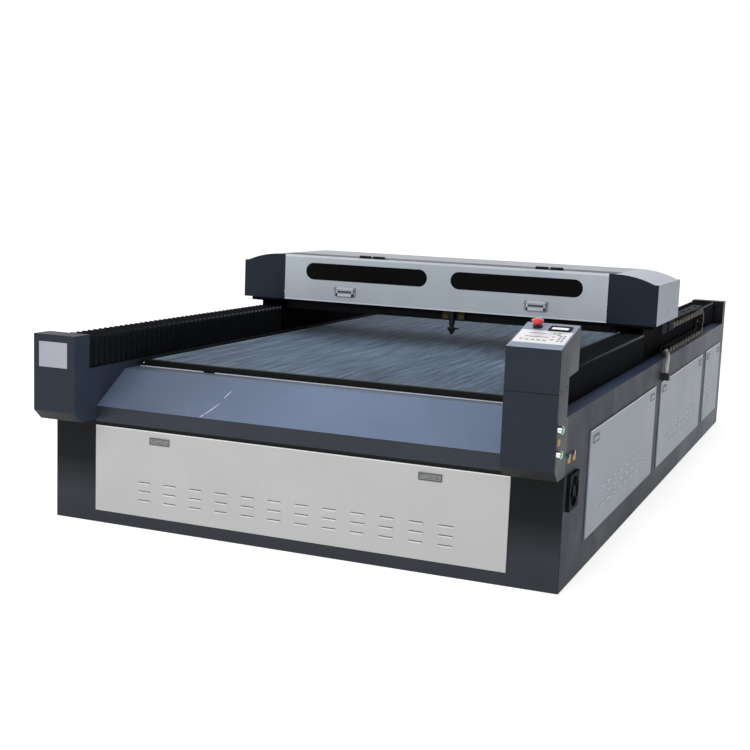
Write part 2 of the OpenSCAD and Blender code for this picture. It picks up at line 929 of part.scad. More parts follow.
// Folded bellows between two planes: the crossing of a folded side view and a folded top view
function fold_in(j) = j % 2 == 0 ? fold_d : 0;
module bellows_core(y0, y1, t, ends) {
    n = 2 * round((y1 - y0) / fold_pitch);
    ys = [for (j = [0:n]) y0 + (y1 - y0) * j / n];
    x0 = bay_x + bellows_side + t;
    x1 = bellows_x1 - bellows_side - t;
    z1 = bellows_top - t;
    z0 = deck_z + clear - ends;
    intersection() {
        along_x(x0 - over, x1 - x0 + 2 * over)
            polygon(concat(
                [[y0 - ends, z0], [y1 + ends, z0], [y1 + ends, z1 - fold_d]],
                [for (j = [0:n]) [ys[n - j], z1 - fold_in(n - j)]],
                [[y0 - ends, z1 - fold_d]]
            ));
        translate([0, 0, z0 - over]) linear_extrude(height = z1 - z0 + 2 * over)
            polygon(concat(
                [[x0 + fold_d, y0 - ends]],
                [[x1 - fold_d, y0 - ends]],
                [for (j = [0:n]) [x1 - fold_in(j), ys[j]]],
                [[x1 - fold_d, y1 + ends]],
                [[x0 + fold_d, y1 + ends]],
                [for (j = [0:n]) [x0 + fold_in(n - j), ys[n - j]]]
            ));
    }
}
module bellows(y0, y1) {
    difference() {
        bellows_core(y0, y1, 0, 0);
        bellows_core(y0, y1, bellows_wall, over);
    }
}
module front_bellows() {
    color(black) place() {
        bellows(pedestal_d - nose_out + clear, truck_y0 - clear);
        mirror([1, 0, 0]) bellows(box_d - nose_out + clear, truck_y0 - clear);
    }
}
module rear_bellows() {
    color(black) place() both_sides() bellows(truck_y1 + clear, base_l - box_d - clear);
}

// Table: black edge bars on the rim of a ribbed panel
module bed_frame() {
    z0 = apron_z + rim_t;
    x1 = bay_x - table_gap;
    color(black) place() difference() {
        bar(-x1, table_y, z0, 2 * x1, base_l - 2 * table_y, deck_z - z0);
        bar(
            -x1 + bar_w, table_y + bar_w, z0 - over,
            2 * (x1 - bar_w), base_l - 2 * (table_y + bar_w), deck_z - z0 + 2 * over
        );
    }
}
module bed_panel() {
    x1 = bay_x - table_gap;
    field_w = 2 * (core_x - rib_border);
    n = floor((field_w + rib_t) / rib_pitch);
    first = -(n * rib_pitch - rib_t) / 2;
    color(alu) place() {
        translate([0, 0, apron_z]) linear_extrude(height = table_h - rib_drop) difference() {
            translate([-core_x, core_y0]) square([2 * core_x, core_l]);
            for (i = [0:n - 1])
                translate([first + i * rib_pitch, core_y0 + rib_border])
                    square([rib_pitch - rib_t, core_l - 2 * rib_border]);
        }
        translate([0, 0, apron_z]) linear_extrude(height = rim_t) difference() {
            translate([-x1, table_y - rim_lip]) square([2 * x1, base_l - 2 * (table_y - rim_lip)]);
            translate([-core_x + rib_border / 2, core_y0 + rib_border / 2])
                square([2 * core_x - rib_border, core_l - rib_border]);
        }
    }
}

// Suction hopper that hangs under the table's beams
module hopper() {
    z1 = cross_z0;
    color(steel) place() along_y(hopper_y0, base_l - 2 * hopper_y0) {
        difference() {
            polygon([
                [-hopper_x, z1], [-hopper_foot_x, hopper_z0], [hopper_foot_x, hopper_z0], [hopper_x, z1]
            ]);
            polygon(inset([
                [-hopper_x - over, z1 + over + sheet], [-hopper_x, z1], [-hopper_foot_x, hopper_z0],
                [hopper_foot_x, hopper_z0], [hopper_x, z1], [hopper_x + over, z1 + over + sheet]
            ], sheet));
        }
        translate([-hopper_x - hopper_flange, z1 - sheet]) square([hopper_flange + 2 * sheet, sheet]);
        translate([hopper_x - 2 * sheet, z1 - sheet]) square([hopper_flange + 2 * sheet, sheet]);
    }
}

// Electrical plate between two posts on the right, with its units
unit_y0 = post_ys[0] + post_w / 2;
unit_l = post_ys[1] - post_ys[0] - post_w;
module electrical_plate() {
    color(steel) place()
        bar(post_x0 - sheet, unit_y0 - post_w, plate_z0, sheet, unit_l + 2 * post_w, plate_h);
}
module control_units() {
    color("#5d6268") place()
        for (u = unit_shares)
            bar(
                post_x0, unit_y0 + u[0] * unit_l, plate_z0 + u[1] * plate_h,
                u[4] * unit_depth, u[2] * unit_l, u[3] * plate_h
            );
}

// Console housing, open below, and the frame of its sloped top
console_outline = [
    [-nose_out, seam_z], [pedestal_d - nose_out, seam_z], [pedestal_d - nose_out, over_z0],
    [console_y1, over_z0 + over_rise], [console_y1, console_z1 + console_rise], [-nose_out, console_z1]
];
console_room = [
    [-nose_out, seam_z - sheet - over], [pedestal_d - nose_out, seam_z - sheet - over],
    [pedestal_d - nose_out, over_z0], [console_y1, over_z0 + over_rise],
    [console_y1, console_z1 + console_rise], [-nose_out, console_z1]
];
module on_console() {
    translate([bay_x + housing_w / 2, -nose_out, console_z1]) rotate([console_tilt, 0, 0]) children();
}
module estop_place() {
    on_console() translate([estop_x_share * housing_w, estop_y_share * console_l, plate_t]) children();
}
module console_box() {
    color(paint) place() difference() {
        along_x(bay_x, housing_w) polygon(console_outline);
        along_x(bay_x + sheet, housing_w - 2 * sheet) polygon(inset(console_room, sheet));
        estop_place() translate([0, 0, -estop_stem_l]) cylinder(h = estop_stem_l, r = estop_neck_r + clear);
    }
}
module console_plate() {
    color("#66748c") place() difference() {
        on_console() bar(
            -housing_w / 2 + plate_edge, plate_edge, 0,
            housing_w - 2 * plate_edge, console_l - 2 * plate_edge, plate_t
        );
        estop_place() translate([0, 0, -plate_t - over])
            cylinder(h = plate_t + 2 * over, r = estop_neck_r + clear);
    }
}
module keypad() {
    color("#d8dae0") place() on_console() bar(
        -housing_w / 2 + key_margin, key_y_share * console_l, plate_t,
        housing_w - 2 * key_margin, key_l_share * console_l, key_t
    );
}
module lcd_display() {
    x0 = housing_w / 2 - lcd_margin - lcd_w;
    color(black) place() on_console()
        translate([x0, lcd_y_share * console_l, plate_t]) difference() {
            cube([lcd_w, lcd_l, lcd_t]);
            bar(
                lcd_frame, lcd_frame, lcd_t - lcd_recess,
                lcd_w - 2 * lcd_frame, lcd_l - 2 * lcd_frame, lcd_recess + over
            );
        }
}

// Bezels of the two push buttons and collar of the emergency stop
module switch_bezels() {
    color(steel) place() {
        for (p = button_places)
            difference() {
                union() {
                    rod_x(half_w, p[0], p[1], bezel_proud, bezel_r);
                    rod_x(half_w - bezel_l, p[0], p[1], bezel_l, bezel_barrel_r);
                }
                rod_x(
                    half_w - bezel_l - over, p[0], p[1],
                    bezel_l + bezel_proud + 2 * over, button_r + run_fit
                );
            }
        estop_place() difference() {
            cylinder(h = estop_collar_h, r = estop_collar_r);
            translate([0, 0, -over]) cylinder(h = estop_collar_h + 2 * over, r = estop_neck_r + run_fit);
        }
    }
}
module estop_head() {
    color("#d8303a") place() estop_place() {
        translate([0, 0, estop_collar_h - estop_stem_l])
            cylinder(h = estop_stem_l + estop_travel, r = estop_neck_r);
        translate([0, 0, estop_collar_h + estop_travel])
            cylinder(h = estop_cone_h, r1 = estop_collar_r, r2 = estop_r);
        translate([0, 0, estop_collar_h + estop_travel + estop_cone_h])
            cylinder(h = estop_rim_h, r = estop_r);
        translate([0, 0, estop_collar_h + estop_travel + estop_cone_h + estop_rim_h]) intersection() {
            dome_r = (estop_r * estop_r + estop_dome_h * estop_dome_h) / (2 * estop_dome_h);
            translate([0, 0, estop_dome_h - dome_r]) sphere(r = dome_r, $fn = 64);
            cylinder(h = estop_dome_h + over, r = estop_r);
        }
    }
}
module push_button(p) {
    rod_x(half_w - bezel_l, p[0], p[1], bezel_l + bezel_proud + button_proud, button_r);
}
module start_button() {
    color("#2f9a4b") place() push_button(button_places[0]);
}
module stop_button() {
    color("#2f9a4b") place() push_button(button_places[1]);
}

// Two ports and the conduit's elbow gland on the right skin
module side_inserts() {
    color(black) place() {
        for (p = port_places)
            difference() {
                union() {
                    rod_x(half_w, p[0], p[1], port_proud, port_r + port_rim);
                    rod_x(half_w - port_depth, p[0], p[1], port_depth, port_r);
                }
                rod_x(half_w - port_depth / 2, p[0], p[1], port_depth + port_proud, port_r * port_bore_share);
            }
        difference() {
            union() {
                rod_x(half_w - sheet, gland_y, gland_z, sheet, gland_stub_r);
                bar(half_w, gland_y - gland_w / 2, gland_top - gland_h, 2 * hose_end[0], gland_w, gland_h);
                translate([half_w + hose_end[0], gland_y, gland_top])
                    cylinder(h = gland_collar_h, r = hose_r + gland_wall);
            }
            translate([half_w + hose_end[0], gland_y, gland_top - gland_bore - clear])
                cylinder(h = gland_bore + clear + gland_collar_h + over, r = hose_r + gland_fit);
        }
    }
}

// Cooling fan: frame inside the skin, guard outside it, rotor on its pin
fan_x0 = half_w - sheet - fan_d;
module fan_ring(w) {
    difference() {
        square(w, center = true);
        circle(r = fan_bore_r);
    }
}
module fan_cross(w, bar_t, hub_r) {
    fan_ring(w);
    circle(r = hub_r);
    for (a = [45, 135])
        rotate(a) square([2 * (fan_bore_r + over), bar_t], center = true);
}
module fan_housing() {
    color(black) place() translate([0, fan_y, fan_z]) {
        along_x(fan_x0, fan_strut_t) fan_cross(fan_w, fan_strut, fan_hub_r);
        along_x(fan_x0, fan_d) fan_ring(fan_w);
        rod_x(fan_x0, 0, 0, fan_d - fan_strut_t, fan_pin_r);
        along_x(half_w, fan_guard_d) fan_ring(fan_guard_w);
        along_x(half_w + fan_guard_d - fan_guard_plate, fan_guard_plate)
            fan_cross(fan_guard_w, fan_guard_bar, fan_hub_r);
    }
}
module fan_rotor() {
    x0 = fan_x0 + fan_strut_t + clear;
    len = fan_d - fan_strut_t - 2 * clear;
    color("#26282b") place() difference() {
        union() {
            rod_x(x0, fan_y, fan_z, len, fan_hub_r);
            intersection() {
                rod_x(x0, fan_y, fan_z, len, fan_bore_r - fan_tip_gap);
                for (i = [0:fan_blade_n - 1])
                    translate([x0 + len / 2, fan_y, fan_z]) rotate([i * 360 / fan_blade_n, 0, 0])
                        rotate([0, 0, fan_blade_tilt])
                            bar(-len / 2, -fan_blade_t / 2, fan_hub_r / 2, len, fan_blade_t, fan_bore_r);
            }
        }
        rod_x(x0 - over, fan_y, fan_z, len + 2 * over, fan_pin_r + run_fit);
    }
}

// Trough of the drag chain on the right ledge, with the lug of the chain's fixed end
module chain_trough() {
    len = chain_y1 - chain_y0 + arm_lug;
    color(steel) place() {
        bar(trough_x0, chain_y0 - arm_lug, deck_z, chain_w + 2 * trough_t, len, trough_t);
        bar(trough_x0, chain_y0 - arm_lug, deck_z, trough_t, len, trough_wall);
    }
}

// One link between two pins: side plates with round ends and two cross bars
module chain_link(wide) {
    w = wide ? chain_w : chain_w - 2 * (plate_link_t + link_gap);
    for (s = [-1, 1])
        translate([s * (w - plate_link_t) / 2, 0, 0])
            along_x(-plate_link_t / 2, plate_link_t) {
                square([chain_pitch, link_h], center = true);
                for (k = [-1, 1])
                    translate([k * chain_pitch / 2, 0]) circle(d = link_h, $fn = 8);
            }
    for (s = [-1, 1])
        translate([-w / 2 + plate_link_t / 2, -link_bar_l / 2, s * (link_h - link_bar) / 2 - link_bar / 2])
            cube([w - plate_link_t, link_bar_l, link_bar]);
}
module drag_chain() {
    color("#7a6632") place()
        for (i = [0:len(chain_pins) - 2])
            let (a = chain_pins[i], b = chain_pins[i + 1])
            translate([chain_x, (a[0] + b[0]) / 2, (a[1] + b[1]) / 2])
                rotate([atan2(b[1] - a[1], b[0] - a[0]), 0, 0]) chain_link(i % 2 == 0);
}

// Plate arm under the right cap, with two hanger plates and the yoke of the chain's moving end
module chain_arm() {
    w = half_w - arm_x0;
    low_z = chain_top - link_h;
    color(pale) place() {
        difference() {
            bar(arm_x0, gantry_y + arm_y0, arm_z0, w, arm_l, arm_t);
            for (s = arm_slot_shares)
                translate([arm_x0 + w / 2, gantry_y + arm_y0 + s * arm_l, arm_z0 - over]) rotate([0, 0, 90])
                    linear_extrude(height = arm_t + 2 * over) slot_outline(arm_slot_l, arm_slot_w);
        }
        for (k = [0, 1])
            bar(
                half_w - arm_lug_t, chain_y0 - arm_lug / 2 - hanger_l - k * (hanger_l + hanger_gap), low_z,
                arm_lug_t, hanger_l, arm_z0 + arm_t - low_z
            );
        bar(arm_x0, chain_y0 - arm_lug, tie_z0, w, arm_lug / 2, arm_t);
        bar(arm_x0, chain_y0 - arm_lug, low_z, arm_lug_t, arm_lug / 2, tie_z0 + arm_t - low_z);
    }
}

// Conduit: a round tube along a smoothed route
function spline(p, t) = p[1] + t / 2 * (
    p[2] - p[0] + t * (2 * p[0] - 5 * p[1] + 4 * p[2] - p[3] + t * (3 * (p[1] - p[2]) + p[3] - p[0]))
);
function clamp_i(i, n) = i < 0 ? 0 : i > n - 1 ? n - 1 : i;
function smooth(r) = let (n = len(r)) concat(
    [for (i = [0:n - 2], k = [0:hose_steps - 1])
        spline([for (j = [-1:2]) r[clamp_i(i + j, n)]], k / hose_steps)],
    [r[n - 1]]
);
function carry(u, t) = unit(u - (u * t) * t);
function sides(ts, i, u) = i >= len(ts) ? [] : let (w = carry(u, ts[i])) concat([w], sides(ts, i + 1, w));
module hose(route, r) {
    p = smooth(route);
    n = len(p);
    m = hose_sides;
    ts = [for (i = [0:n - 1]) unit(p[min(i + 1, n - 1)] - p[max(i - 1, 0)])];
    us = sides(ts, 0, [1, 0, 0]);
    points = [for (i = [0:n - 1], k = [0:m - 1])
        p[i] + r * (cos(k * 360 / m) * us[i] + sin(k * 360 / m) * cross(ts[i], us[i]))];
    faces = concat(
        [[for (k = [0:m - 1]) k]],
        [[for (k = [0:m - 1]) (n - 1) * m + m - 1 - k]],
        [for (i = [0:n - 2], k = [0:m - 1])
            [i * m + k, (i + 1) * m + k, (i + 1) * m + (k + 1) % m, i * m + (k + 1) % m]]
    );
    polyhedron(points = points, faces = faces, convexity = 4);
}
module cable_hose() {
    color("#b9b4b6") place() translate([half_w, chain_y0, deck_z]) hose(hose_route, hose_r);
}

// Trucks on the rails: plate under the caps, block, and neck between the bellows
module trucks() {
    color(black) place() both_sides() difference() {
        union() {
            bar(hood_x, gantry_y, gantry_z0 - truck_t, arm_x0 - clear - hood_x, gantry_d, truck_t);
            bar(
                hood_x, gantry_y + truck_inset, truck_z0,
                cap_w - truck_out, gantry_d - 2 * truck_inset, arm_z0 - clear - truck_z0
            );
            bar(
                bay_x + neck_in, truck_y0, deck_z + truck_lift,
                bellows_w - 2 * neck_in, truck_y1 - truck_y0, truck_z0 - deck_z - truck_lift
            );
        }
        bar(
            rail_x - rail_w / 2 - clear, truck_y0 - over, deck_z,
            rail_w + 2 * clear, truck_y1 - truck_y0 + 2 * over, rail_h + clear
        );
        bar(
            belt_x - belt_w / 2 - belt_room, truck_y0 - over, belt_z - pulley_r - belt_t - belt_room,
            belt_w + 2 * belt_room, truck_y1 - truck_y0 + 2 * over, 2 * (pulley_r + belt_t + belt_room)
        );
    }
}

// Gantry frame: hollow cross beam with the head's rail, shelf for the laser tube behind, ties between
module gantry_beam() {
    color(black) place() {
        bar(
            -hood_x + x_end / 2, beam_y0 - x_rail_t, x_rail_z,
            2 * hood_x - x_end, x_rail_t + beam_wall, x_rail_w
        );
        difference() {
            bar(-hood_x, beam_y0, xbeam_z0, 2 * hood_x, beam_d, beam_h);
            bar(
                -hood_x - over, beam_y0 + beam_wall, xbeam_z0 + beam_wall,
                2 * (hood_x + over), beam_d - 2 * beam_wall, beam_h - 2 * beam_wall
            );
            for (s = [-1, 1])
                rod_y(s * x_drive_x, beam_y0 - over, x_belt_z, beam_d + 2 * over, x_axle_r + run_fit);
        }
        bar(-hood_x, shelf_y0, shelf_z, 2 * hood_x, gantry_y1 - sheet - shelf_y0, shelf_t);
        bar(-hood_x, gantry_y1 - sheet - shelf_t, shelf_z, 2 * hood_x, shelf_t, upstand);
        for (s = [-tie_share, 0, tie_share])
            bar(s * hood_x - tie_w / 2, beam_y1, shelf_z, tie_w, shelf_y0 - beam_y1, truck_t);
    }
}

// Light hood over the gantry: top sheet, front fold and rear sheet
module gantry_hood() {
    y0 = gantry_y + flap_t + flap_top_d + flap_gap;
    color(pale) place() {
        bar(-hood_x, y0, gantry_top - sheet, 2 * hood_x, gantry_y1 - y0, sheet);
        bar(-hood_x, y0, gantry_top - flap_top_d, 2 * hood_x, sheet, flap_top_d);
        bar(-hood_x, gantry_y1 - sheet, gantry_z0, 2 * hood_x, sheet, gantry_h);
    }
}

// End caps with an arched top, open below and towards the hood
module cap_body(t) {
    x1 = half_w - t;
    intersection() {
        bar(hood_x, gantry_y + t, gantry_z0, cap_w - t, gantry_d - 2 * t, gantry_h);
        union() {
            rod_y(hood_x, gantry_y, gantry_top - cap_r, gantry_d, cap_r - t, $fn = 200);
            bar(x1 - cap_flat + t, gantry_y, gantry_z0, cap_flat, gantry_d, gantry_h - cap_fall - t);
        }
    }
}
module gantry_caps() {
    color(paint) place() both_sides() {
        difference() {
            cap_body(0);
            cap_body(sheet);
            bar(
                hood_x - over, gantry_y + sheet, gantry_z0 - over,
                cap_w - sheet + over, gantry_d - 2 * sheet, 2 * over
            );
            bar(
                hood_x - over, gantry_y + sheet, gantry_z0 - over,
                2 * over, gantry_d - 2 * sheet, gantry_h - sheet + over
            );
            bar(
                half_w - sheet - over, gantry_y + gantry_d / 2, gantry_z0 + cap_slot_z - cap_slot_h / 2,
                sheet + 2 * over, cap_slot_w, cap_slot_h
            );
        }
        bar(hood_x - cap_lip, gantry_y, gantry_z0, cap_lip, sheet, gantry_h);
    }
}

// Glass laser tube with its end caps, along x
module laser_tube() {
    color("#c9dbe2") place() {
        rod_x(-glass_l / 2, glass_y, glass_z, glass_l, glass_r);
        both_sides() rod_x(glass_l / 2, glass_y, glass_z, glass_cap_l, glass_cap_r);
    }
}
glass_z = mirror_z;

// Clamps of the laser tube and the holders of the two beam mirrors
module mirror_holder(x, y, z0, turn) {
    translate([x, y, 0]) {
        bar(-mirror_hold / 2, -mirror_hold / 2, z0, mirror_hold, mirror_hold, mirror_plate);
        rotate([0, 0, turn]) {
            bar(
                -mirror_plate / 2, -mirror_hold / 2, z0,
                mirror_plate, mirror_hold, mirror_z + mirror_hold / 2 - z0
            );
            rod_x(mirror_plate / 2, 0, mirror_z, mirror_t, mirror_r);
        }
    }
}
module optic_mounts() {
    color(steel) place() {
        for (s = [-clamp_share, clamp_share])
            difference() {
                bar(
                    s * glass_l - clamp_w / 2, glass_y - glass_r - clamp_wall, shelf_z + shelf_t,
                    clamp_w, 2 * (glass_r + clamp_wall), glass_z + glass_r + clamp_wall - shelf_z - shelf_t
                );
                rod_x(s * glass_l - clamp_w, glass_y, glass_z, 2 * clamp_w, glass_r + clear / 2);
            }
        mirror_holder(mirror_x, glass_y, shelf_z + shelf_t, -45);
        mirror_holder(mirror_x, head_y, xbeam_z0 + beam_h, 45);
        bar(
            mirror_x - mirror_hold / 2, head_y, xbeam_z0 + beam_h,
            mirror_hold, beam_y0 + mirror_hold - head_y, mirror_plate
        );
    }
}

// Motor, belt and pulleys of the head's travel
module x_motor() {
    color(black) place()
        bar(x_drive_x - x_motor_w / 2, beam_y1, x_belt_z - x_motor_w / 2, x_motor_w, x_motor_l, x_motor_w);
}
module x_belt() {
    color(black) place() along_y(x_belt_y0, x_belt_w)
        translate([-x_drive_x, x_belt_z]) belt_loop(2 * x_drive_x, x_pulley_r);
}
module x_wheel(s) {
    rod_y(s * x_drive_x, x_belt_y0, x_belt_z, x_belt_w, x_pulley_r);
    rod_y(s * x_drive_x, x_belt_y0, x_belt_z, beam_y1 - clear - x_belt_y0, x_axle_r);
}
module x_pulley() {
    color(steel) place() x_wheel(1);
}
module x_idler() {
    color(steel) place() x_wheel(-1);
}

// Head carriage: plate, rail shoe, belt clamp, mirror box and the tube that holds the lens
belt_low_z = x_belt_z - x_pulley_r - clear - belt_t;
module laser_head() {
    color(black) place() difference() {
        union() {
            bar(head_x - carriage_w / 2, carriage_y0, carriage_z0, carriage_w, carriage_t, carriage_low_h);
            bar(head_x - mirror_box / 2, carriage_y0, carriage_z0, mirror_box, carriage_t, carriage_h);
            bar(
                head_x - carriage_w / 2, carriage_y1, carriage_z0,
                carriage_w, beam_y0 - jaw_gap - carriage_y1, x_rail_w + 2 * (rail_jaw + 2 * clear)
            );
            bar(
                head_x - carriage_w / 4, carriage_y1, belt_low_z - clear - rail_jaw,
                carriage_w / 2, x_belt_y0 + x_belt_w - carriage_y1, belt_t + 2 * (clear + rail_jaw)
            );
            bar(
                head_x - mirror_box / 2, carriage_y0 - 2 * head_off, mirror_z - mirror_box / 2,
                mirror_box, 2 * head_off, mirror_box
            );
            translate([head_x, head_y, head_tube_z0]) cylinder(h = mirror_z - head_tube_z0, r = head_r);
        }
        bar(
            head_x - carriage_w, beam_y0 - x_rail_t - clear, x_rail_z - clear,
            2 * carriage_w, x_rail_t, x_rail_w + 2 * clear
        );
        bar(
            head_x - carriage_w, x_belt_y0 - clear, belt_low_z - clear,
            2 * carriage_w, x_belt_w + 2 * clear + over, belt_t + 2 * clear
        );
        translate([head_x, head_y, head_tube_z0 - over])
            cylinder(h = mirror_z - head_tube_z0 + over, r = lens_r + run_fit);
        rod_x(head_x - mirror_box, head_y, mirror_z, 2 * mirror_box, lens_bore_r);
    }
}

// Lens tube that slides in the head for focus, with collar, cone nozzle and air fitting
module lens_tube() {
    z1 = nozzle_z0 + cone_h;
    color("#2b2c2f") place() translate([head_x, head_y, 0]) difference() {
        union() {
            translate([0, 0, nozzle_z0]) cylinder(h = cone_h, r1 = tip_r, r2 = cone_r);
            translate([0, 0, z1]) cylinder(h = collar_h, r = collar_r);
            translate([0, 0, z1]) cylinder(h = head_tube_z0 + lens_up - z1, r = lens_r);
            rod_x(0, 0, z1 + collar_h / 2, collar_r + fitting_l, fitting_r);
        }
        translate([0, 0, nozzle_z0 - over]) cylinder(h = cone_h + 2 * over, r = bore_tip_r);
        translate([0, 0, z1]) cylinder(h = head_tube_z0 + lens_up - z1 + over, r = lens_bore_r);
    }
}

// Front flap: sheet with two window openings, folded along its top and foot
window_x = (window_gap + window_l) / 2;
module flap_windows(extra) {
    for (s = [-1, 1])
        translate([s * window_x, gantry_z0 + window_up])
            slot_outline(window_l + 2 * extra, window_h + 2 * extra);
}
module flap() {
    color("#9ba2aa") place() {
        along_y(gantry_y, flap_t) difference() {
            translate([-flap_w / 2, gantry_z0]) square([flap_w, gantry_h]);
            flap_windows(0);
        }
        bar(-flap_w / 2, gantry_y, gantry_top - flap_t, flap_w, flap_t + flap_top_d, flap_t);
        bar(-flap_w / 2, gantry_y, gantry_z0, flap_w, flap_t + flap_low_d, flap_t);
    }
}
module window_panes() {
    color("#1d242c") place() along_y(gantry_y + flap_t, pane_t) flap_windows(pane_lap);
}

// Hinges of the flap: leaf, middle knuckle and pin on the hood, leaf and outer knuckles on the flap
module hinge_fixed() {
    mid = hinge_w * hinge_mid_share;
    rod_x(-mid / 2, 0, 0, mid, hinge_r);
    rod_x(-hinge_w / 2, 0, 0, hinge_w, hinge_pin_r);
    bar(-mid / 2, 0, -hinge_r, mid, hinge_leaf_l, hinge_leaf_t);
    bar(-hinge_w / 2, hinge_r + clear, -hinge_r, hinge_w, hinge_leaf_l - hinge_r - clear, hinge_leaf_t);
}
module hinge_moving() {
    mid = hinge_w * hinge_mid_share;
    side = (hinge_w - mid) / 2 - clear;
    difference() {
        for (s = [-1, 1])
            translate([s * (hinge_w - side) / 2, 0, 0]) {
                rod_x(-side / 2, 0, 0, side, hinge_r);
                bar(-side / 2, -flap_top_d, -hinge_r, side, flap_top_d, hinge_leaf_t);
            }
        rod_x(-hinge_w, 0, 0, 2 * hinge_w, hinge_pin_r + run_fit);
    }
    bar(-hinge_w / 2, -flap_top_d, -hinge_r, hinge_w, flap_top_d - hinge_r - clear, hinge_leaf_t);
}
module flap_hinges() {
    color(black) place()
        for (x = hinge_xs)
            translate([x, hinge_y, hinge_z]) hinge_fixed();
}
module flap_leaves() {
    color(black) place()
        for (x = hinge_xs)
            translate([x, hinge_y, hinge_z]) hinge_moving();
}

// Folding handles: riveted plate with ears, and the bail that hangs in them
handle_y = gantry_y - handle_t - handle_ear / 2;
handle_z = gantry_z0 + handle_up + handle_h / 2 - handle_ear;
module handle_places() {
    for (s = [-1, 1])
        translate([s * handle_x_share * flap_w, 0, 0]) children();
}
module handle_plates() {
    color(steel) place() handle_places() difference() {
        union() {
            bar(
                -handle_w / 2, gantry_y - handle_t, gantry_z0 + handle_up - handle_h / 2,
                handle_w, handle_t, handle_h
            );
            for (s = [-1, 1])
                translate([s * (handle_w - handle_ear_w) / 2, 0, 0]) {
                    rod_x(-handle_ear_w / 2, handle_y, handle_z, handle_ear_w, handle_ear / 2);
                    bar(
                        -handle_ear_w / 2, handle_y, handle_z - handle_ear / 2,
                        handle_ear_w, gantry_y - handle_y, handle_ear
                    );
                }
        }
        rod_x(-handle_w, handle_y, handle_z, 2 * handle_w, handle_pin_r + run_fit);
    }
}
module handle_bails() {
    arm_x = handle_w / 2 - handle_ear_w - handle_rod_r - clear;
    low_z = handle_z - handle_drop;
    color("#c4c8cc") place() handle_places() {
        rod_x(-handle_w / 2, handle_y, handle_z, handle_w, handle_pin_r);
        both_sides() translate([arm_x, handle_y, low_z]) cylinder(h = handle_drop, r = handle_rod_r);
        bar(
            -arm_x - handle_rod_r, handle_y - handle_rod_r, low_z - handle_grip_h / 2,
            2 * (arm_x + handle_rod_r), 2 * handle_rod_r, handle_grip_h
        );
    }
}

base_frame();
front_skin();
right_skin();
left_skin();
rear_skin();
left_panels();
aprons();
rail_beams();
end_boxes();
console_pedestal();
y_rails();
y_belts();
y_motors();
y_pulleys();
y_idlers();
front_bellows();
rear_bellows();
bed_frame();
bed_panel();
hopper();
electrical_plate();
control_units();
console_box();
console_plate();
keypad();
lcd_display();
switch_bezels();
side_inserts();
fan_housing();
fan_rotor();
chain_trough();
drag_chain();
cable_hose();
estop_head();
start_button();
stop_button();
front_door();
front_latches();
right_door_1();
right_door_2();
right_door_3();
gantry_beam();
gantry_hood();
gantry_caps();
trucks();
laser_tube();
optic_mounts();
x_motor();
x_belt();
x_pulley();
x_idler();
chain_arm();
flap();
window_panes();
flap_hinges();
flap_leaves();
handle_plates();
handle_bails();
laser_head();
lens_tube();
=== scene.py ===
import json
import math

import bmesh
import bpy
from mathutils import Matrix, Vector
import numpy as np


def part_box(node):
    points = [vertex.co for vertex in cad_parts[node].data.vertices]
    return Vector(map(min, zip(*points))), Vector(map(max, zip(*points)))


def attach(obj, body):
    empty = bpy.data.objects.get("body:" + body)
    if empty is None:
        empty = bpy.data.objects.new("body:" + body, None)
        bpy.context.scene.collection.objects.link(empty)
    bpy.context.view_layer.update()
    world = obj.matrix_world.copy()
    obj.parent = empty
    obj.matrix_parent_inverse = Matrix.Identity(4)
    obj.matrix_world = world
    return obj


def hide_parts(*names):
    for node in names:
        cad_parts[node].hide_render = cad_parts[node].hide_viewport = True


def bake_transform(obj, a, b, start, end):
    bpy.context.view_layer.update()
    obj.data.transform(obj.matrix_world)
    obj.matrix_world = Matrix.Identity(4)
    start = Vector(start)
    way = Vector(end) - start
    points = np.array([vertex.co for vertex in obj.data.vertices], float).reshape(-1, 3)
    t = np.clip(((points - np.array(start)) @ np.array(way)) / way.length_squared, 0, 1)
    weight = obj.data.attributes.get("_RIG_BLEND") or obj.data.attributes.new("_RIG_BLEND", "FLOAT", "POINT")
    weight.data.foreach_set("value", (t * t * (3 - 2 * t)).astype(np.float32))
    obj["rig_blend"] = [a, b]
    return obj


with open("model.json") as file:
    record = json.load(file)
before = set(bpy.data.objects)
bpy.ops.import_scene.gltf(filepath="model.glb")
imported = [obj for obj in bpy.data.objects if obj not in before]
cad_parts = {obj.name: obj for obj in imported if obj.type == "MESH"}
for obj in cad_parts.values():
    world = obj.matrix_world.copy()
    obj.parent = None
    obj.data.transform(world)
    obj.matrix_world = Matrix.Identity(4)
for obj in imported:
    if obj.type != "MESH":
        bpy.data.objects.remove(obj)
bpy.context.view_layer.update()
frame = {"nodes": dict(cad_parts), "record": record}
cad = frame["nodes"]

# Main planes of the machine in millimetres: x from the middle, y from the base's front,
# z from the floor
BASE_L = 4140
HALF_W = 1100
DECK_Z = 660
NOSE_Y = -157
SHEET = 3
DOOR_OUT = 5.4
LATCH_OUT = DOOR_OUT + 3
GANTRY_Y = 1639
GANTRY_TOP = 1078
TABLE_Y = 309
CONSOLE_X, CONSOLE_Z = 1000, 912
CONSOLE_HALF_W = 100
CONSOLE_TILT = math.atan2(62, 264)
PLATE_T = 2
KEY_T = 1.2

# Directions of faces, and how closely a face follows one: from none to all of its paint
FRONT, RIGHT, UP = (0, -1, 0), (1, 0, 0), (0, 0, 1)
NOSE_UNDER = (0, -0.7, -0.7)
FRONT_LIP, SIDE_LIP = (0, -0.8, 0.6), (0.8, 0, 0.6)
FLAT = (0.9, 0.97)
LIP = (0.96, 0.99)
WHITE = (1, 1, 1, 1)


def at(x, y, z):
    """A point of the machine in the frame's metres."""
    return Vector((x, y - BASE_L / 2, z)) / 1000


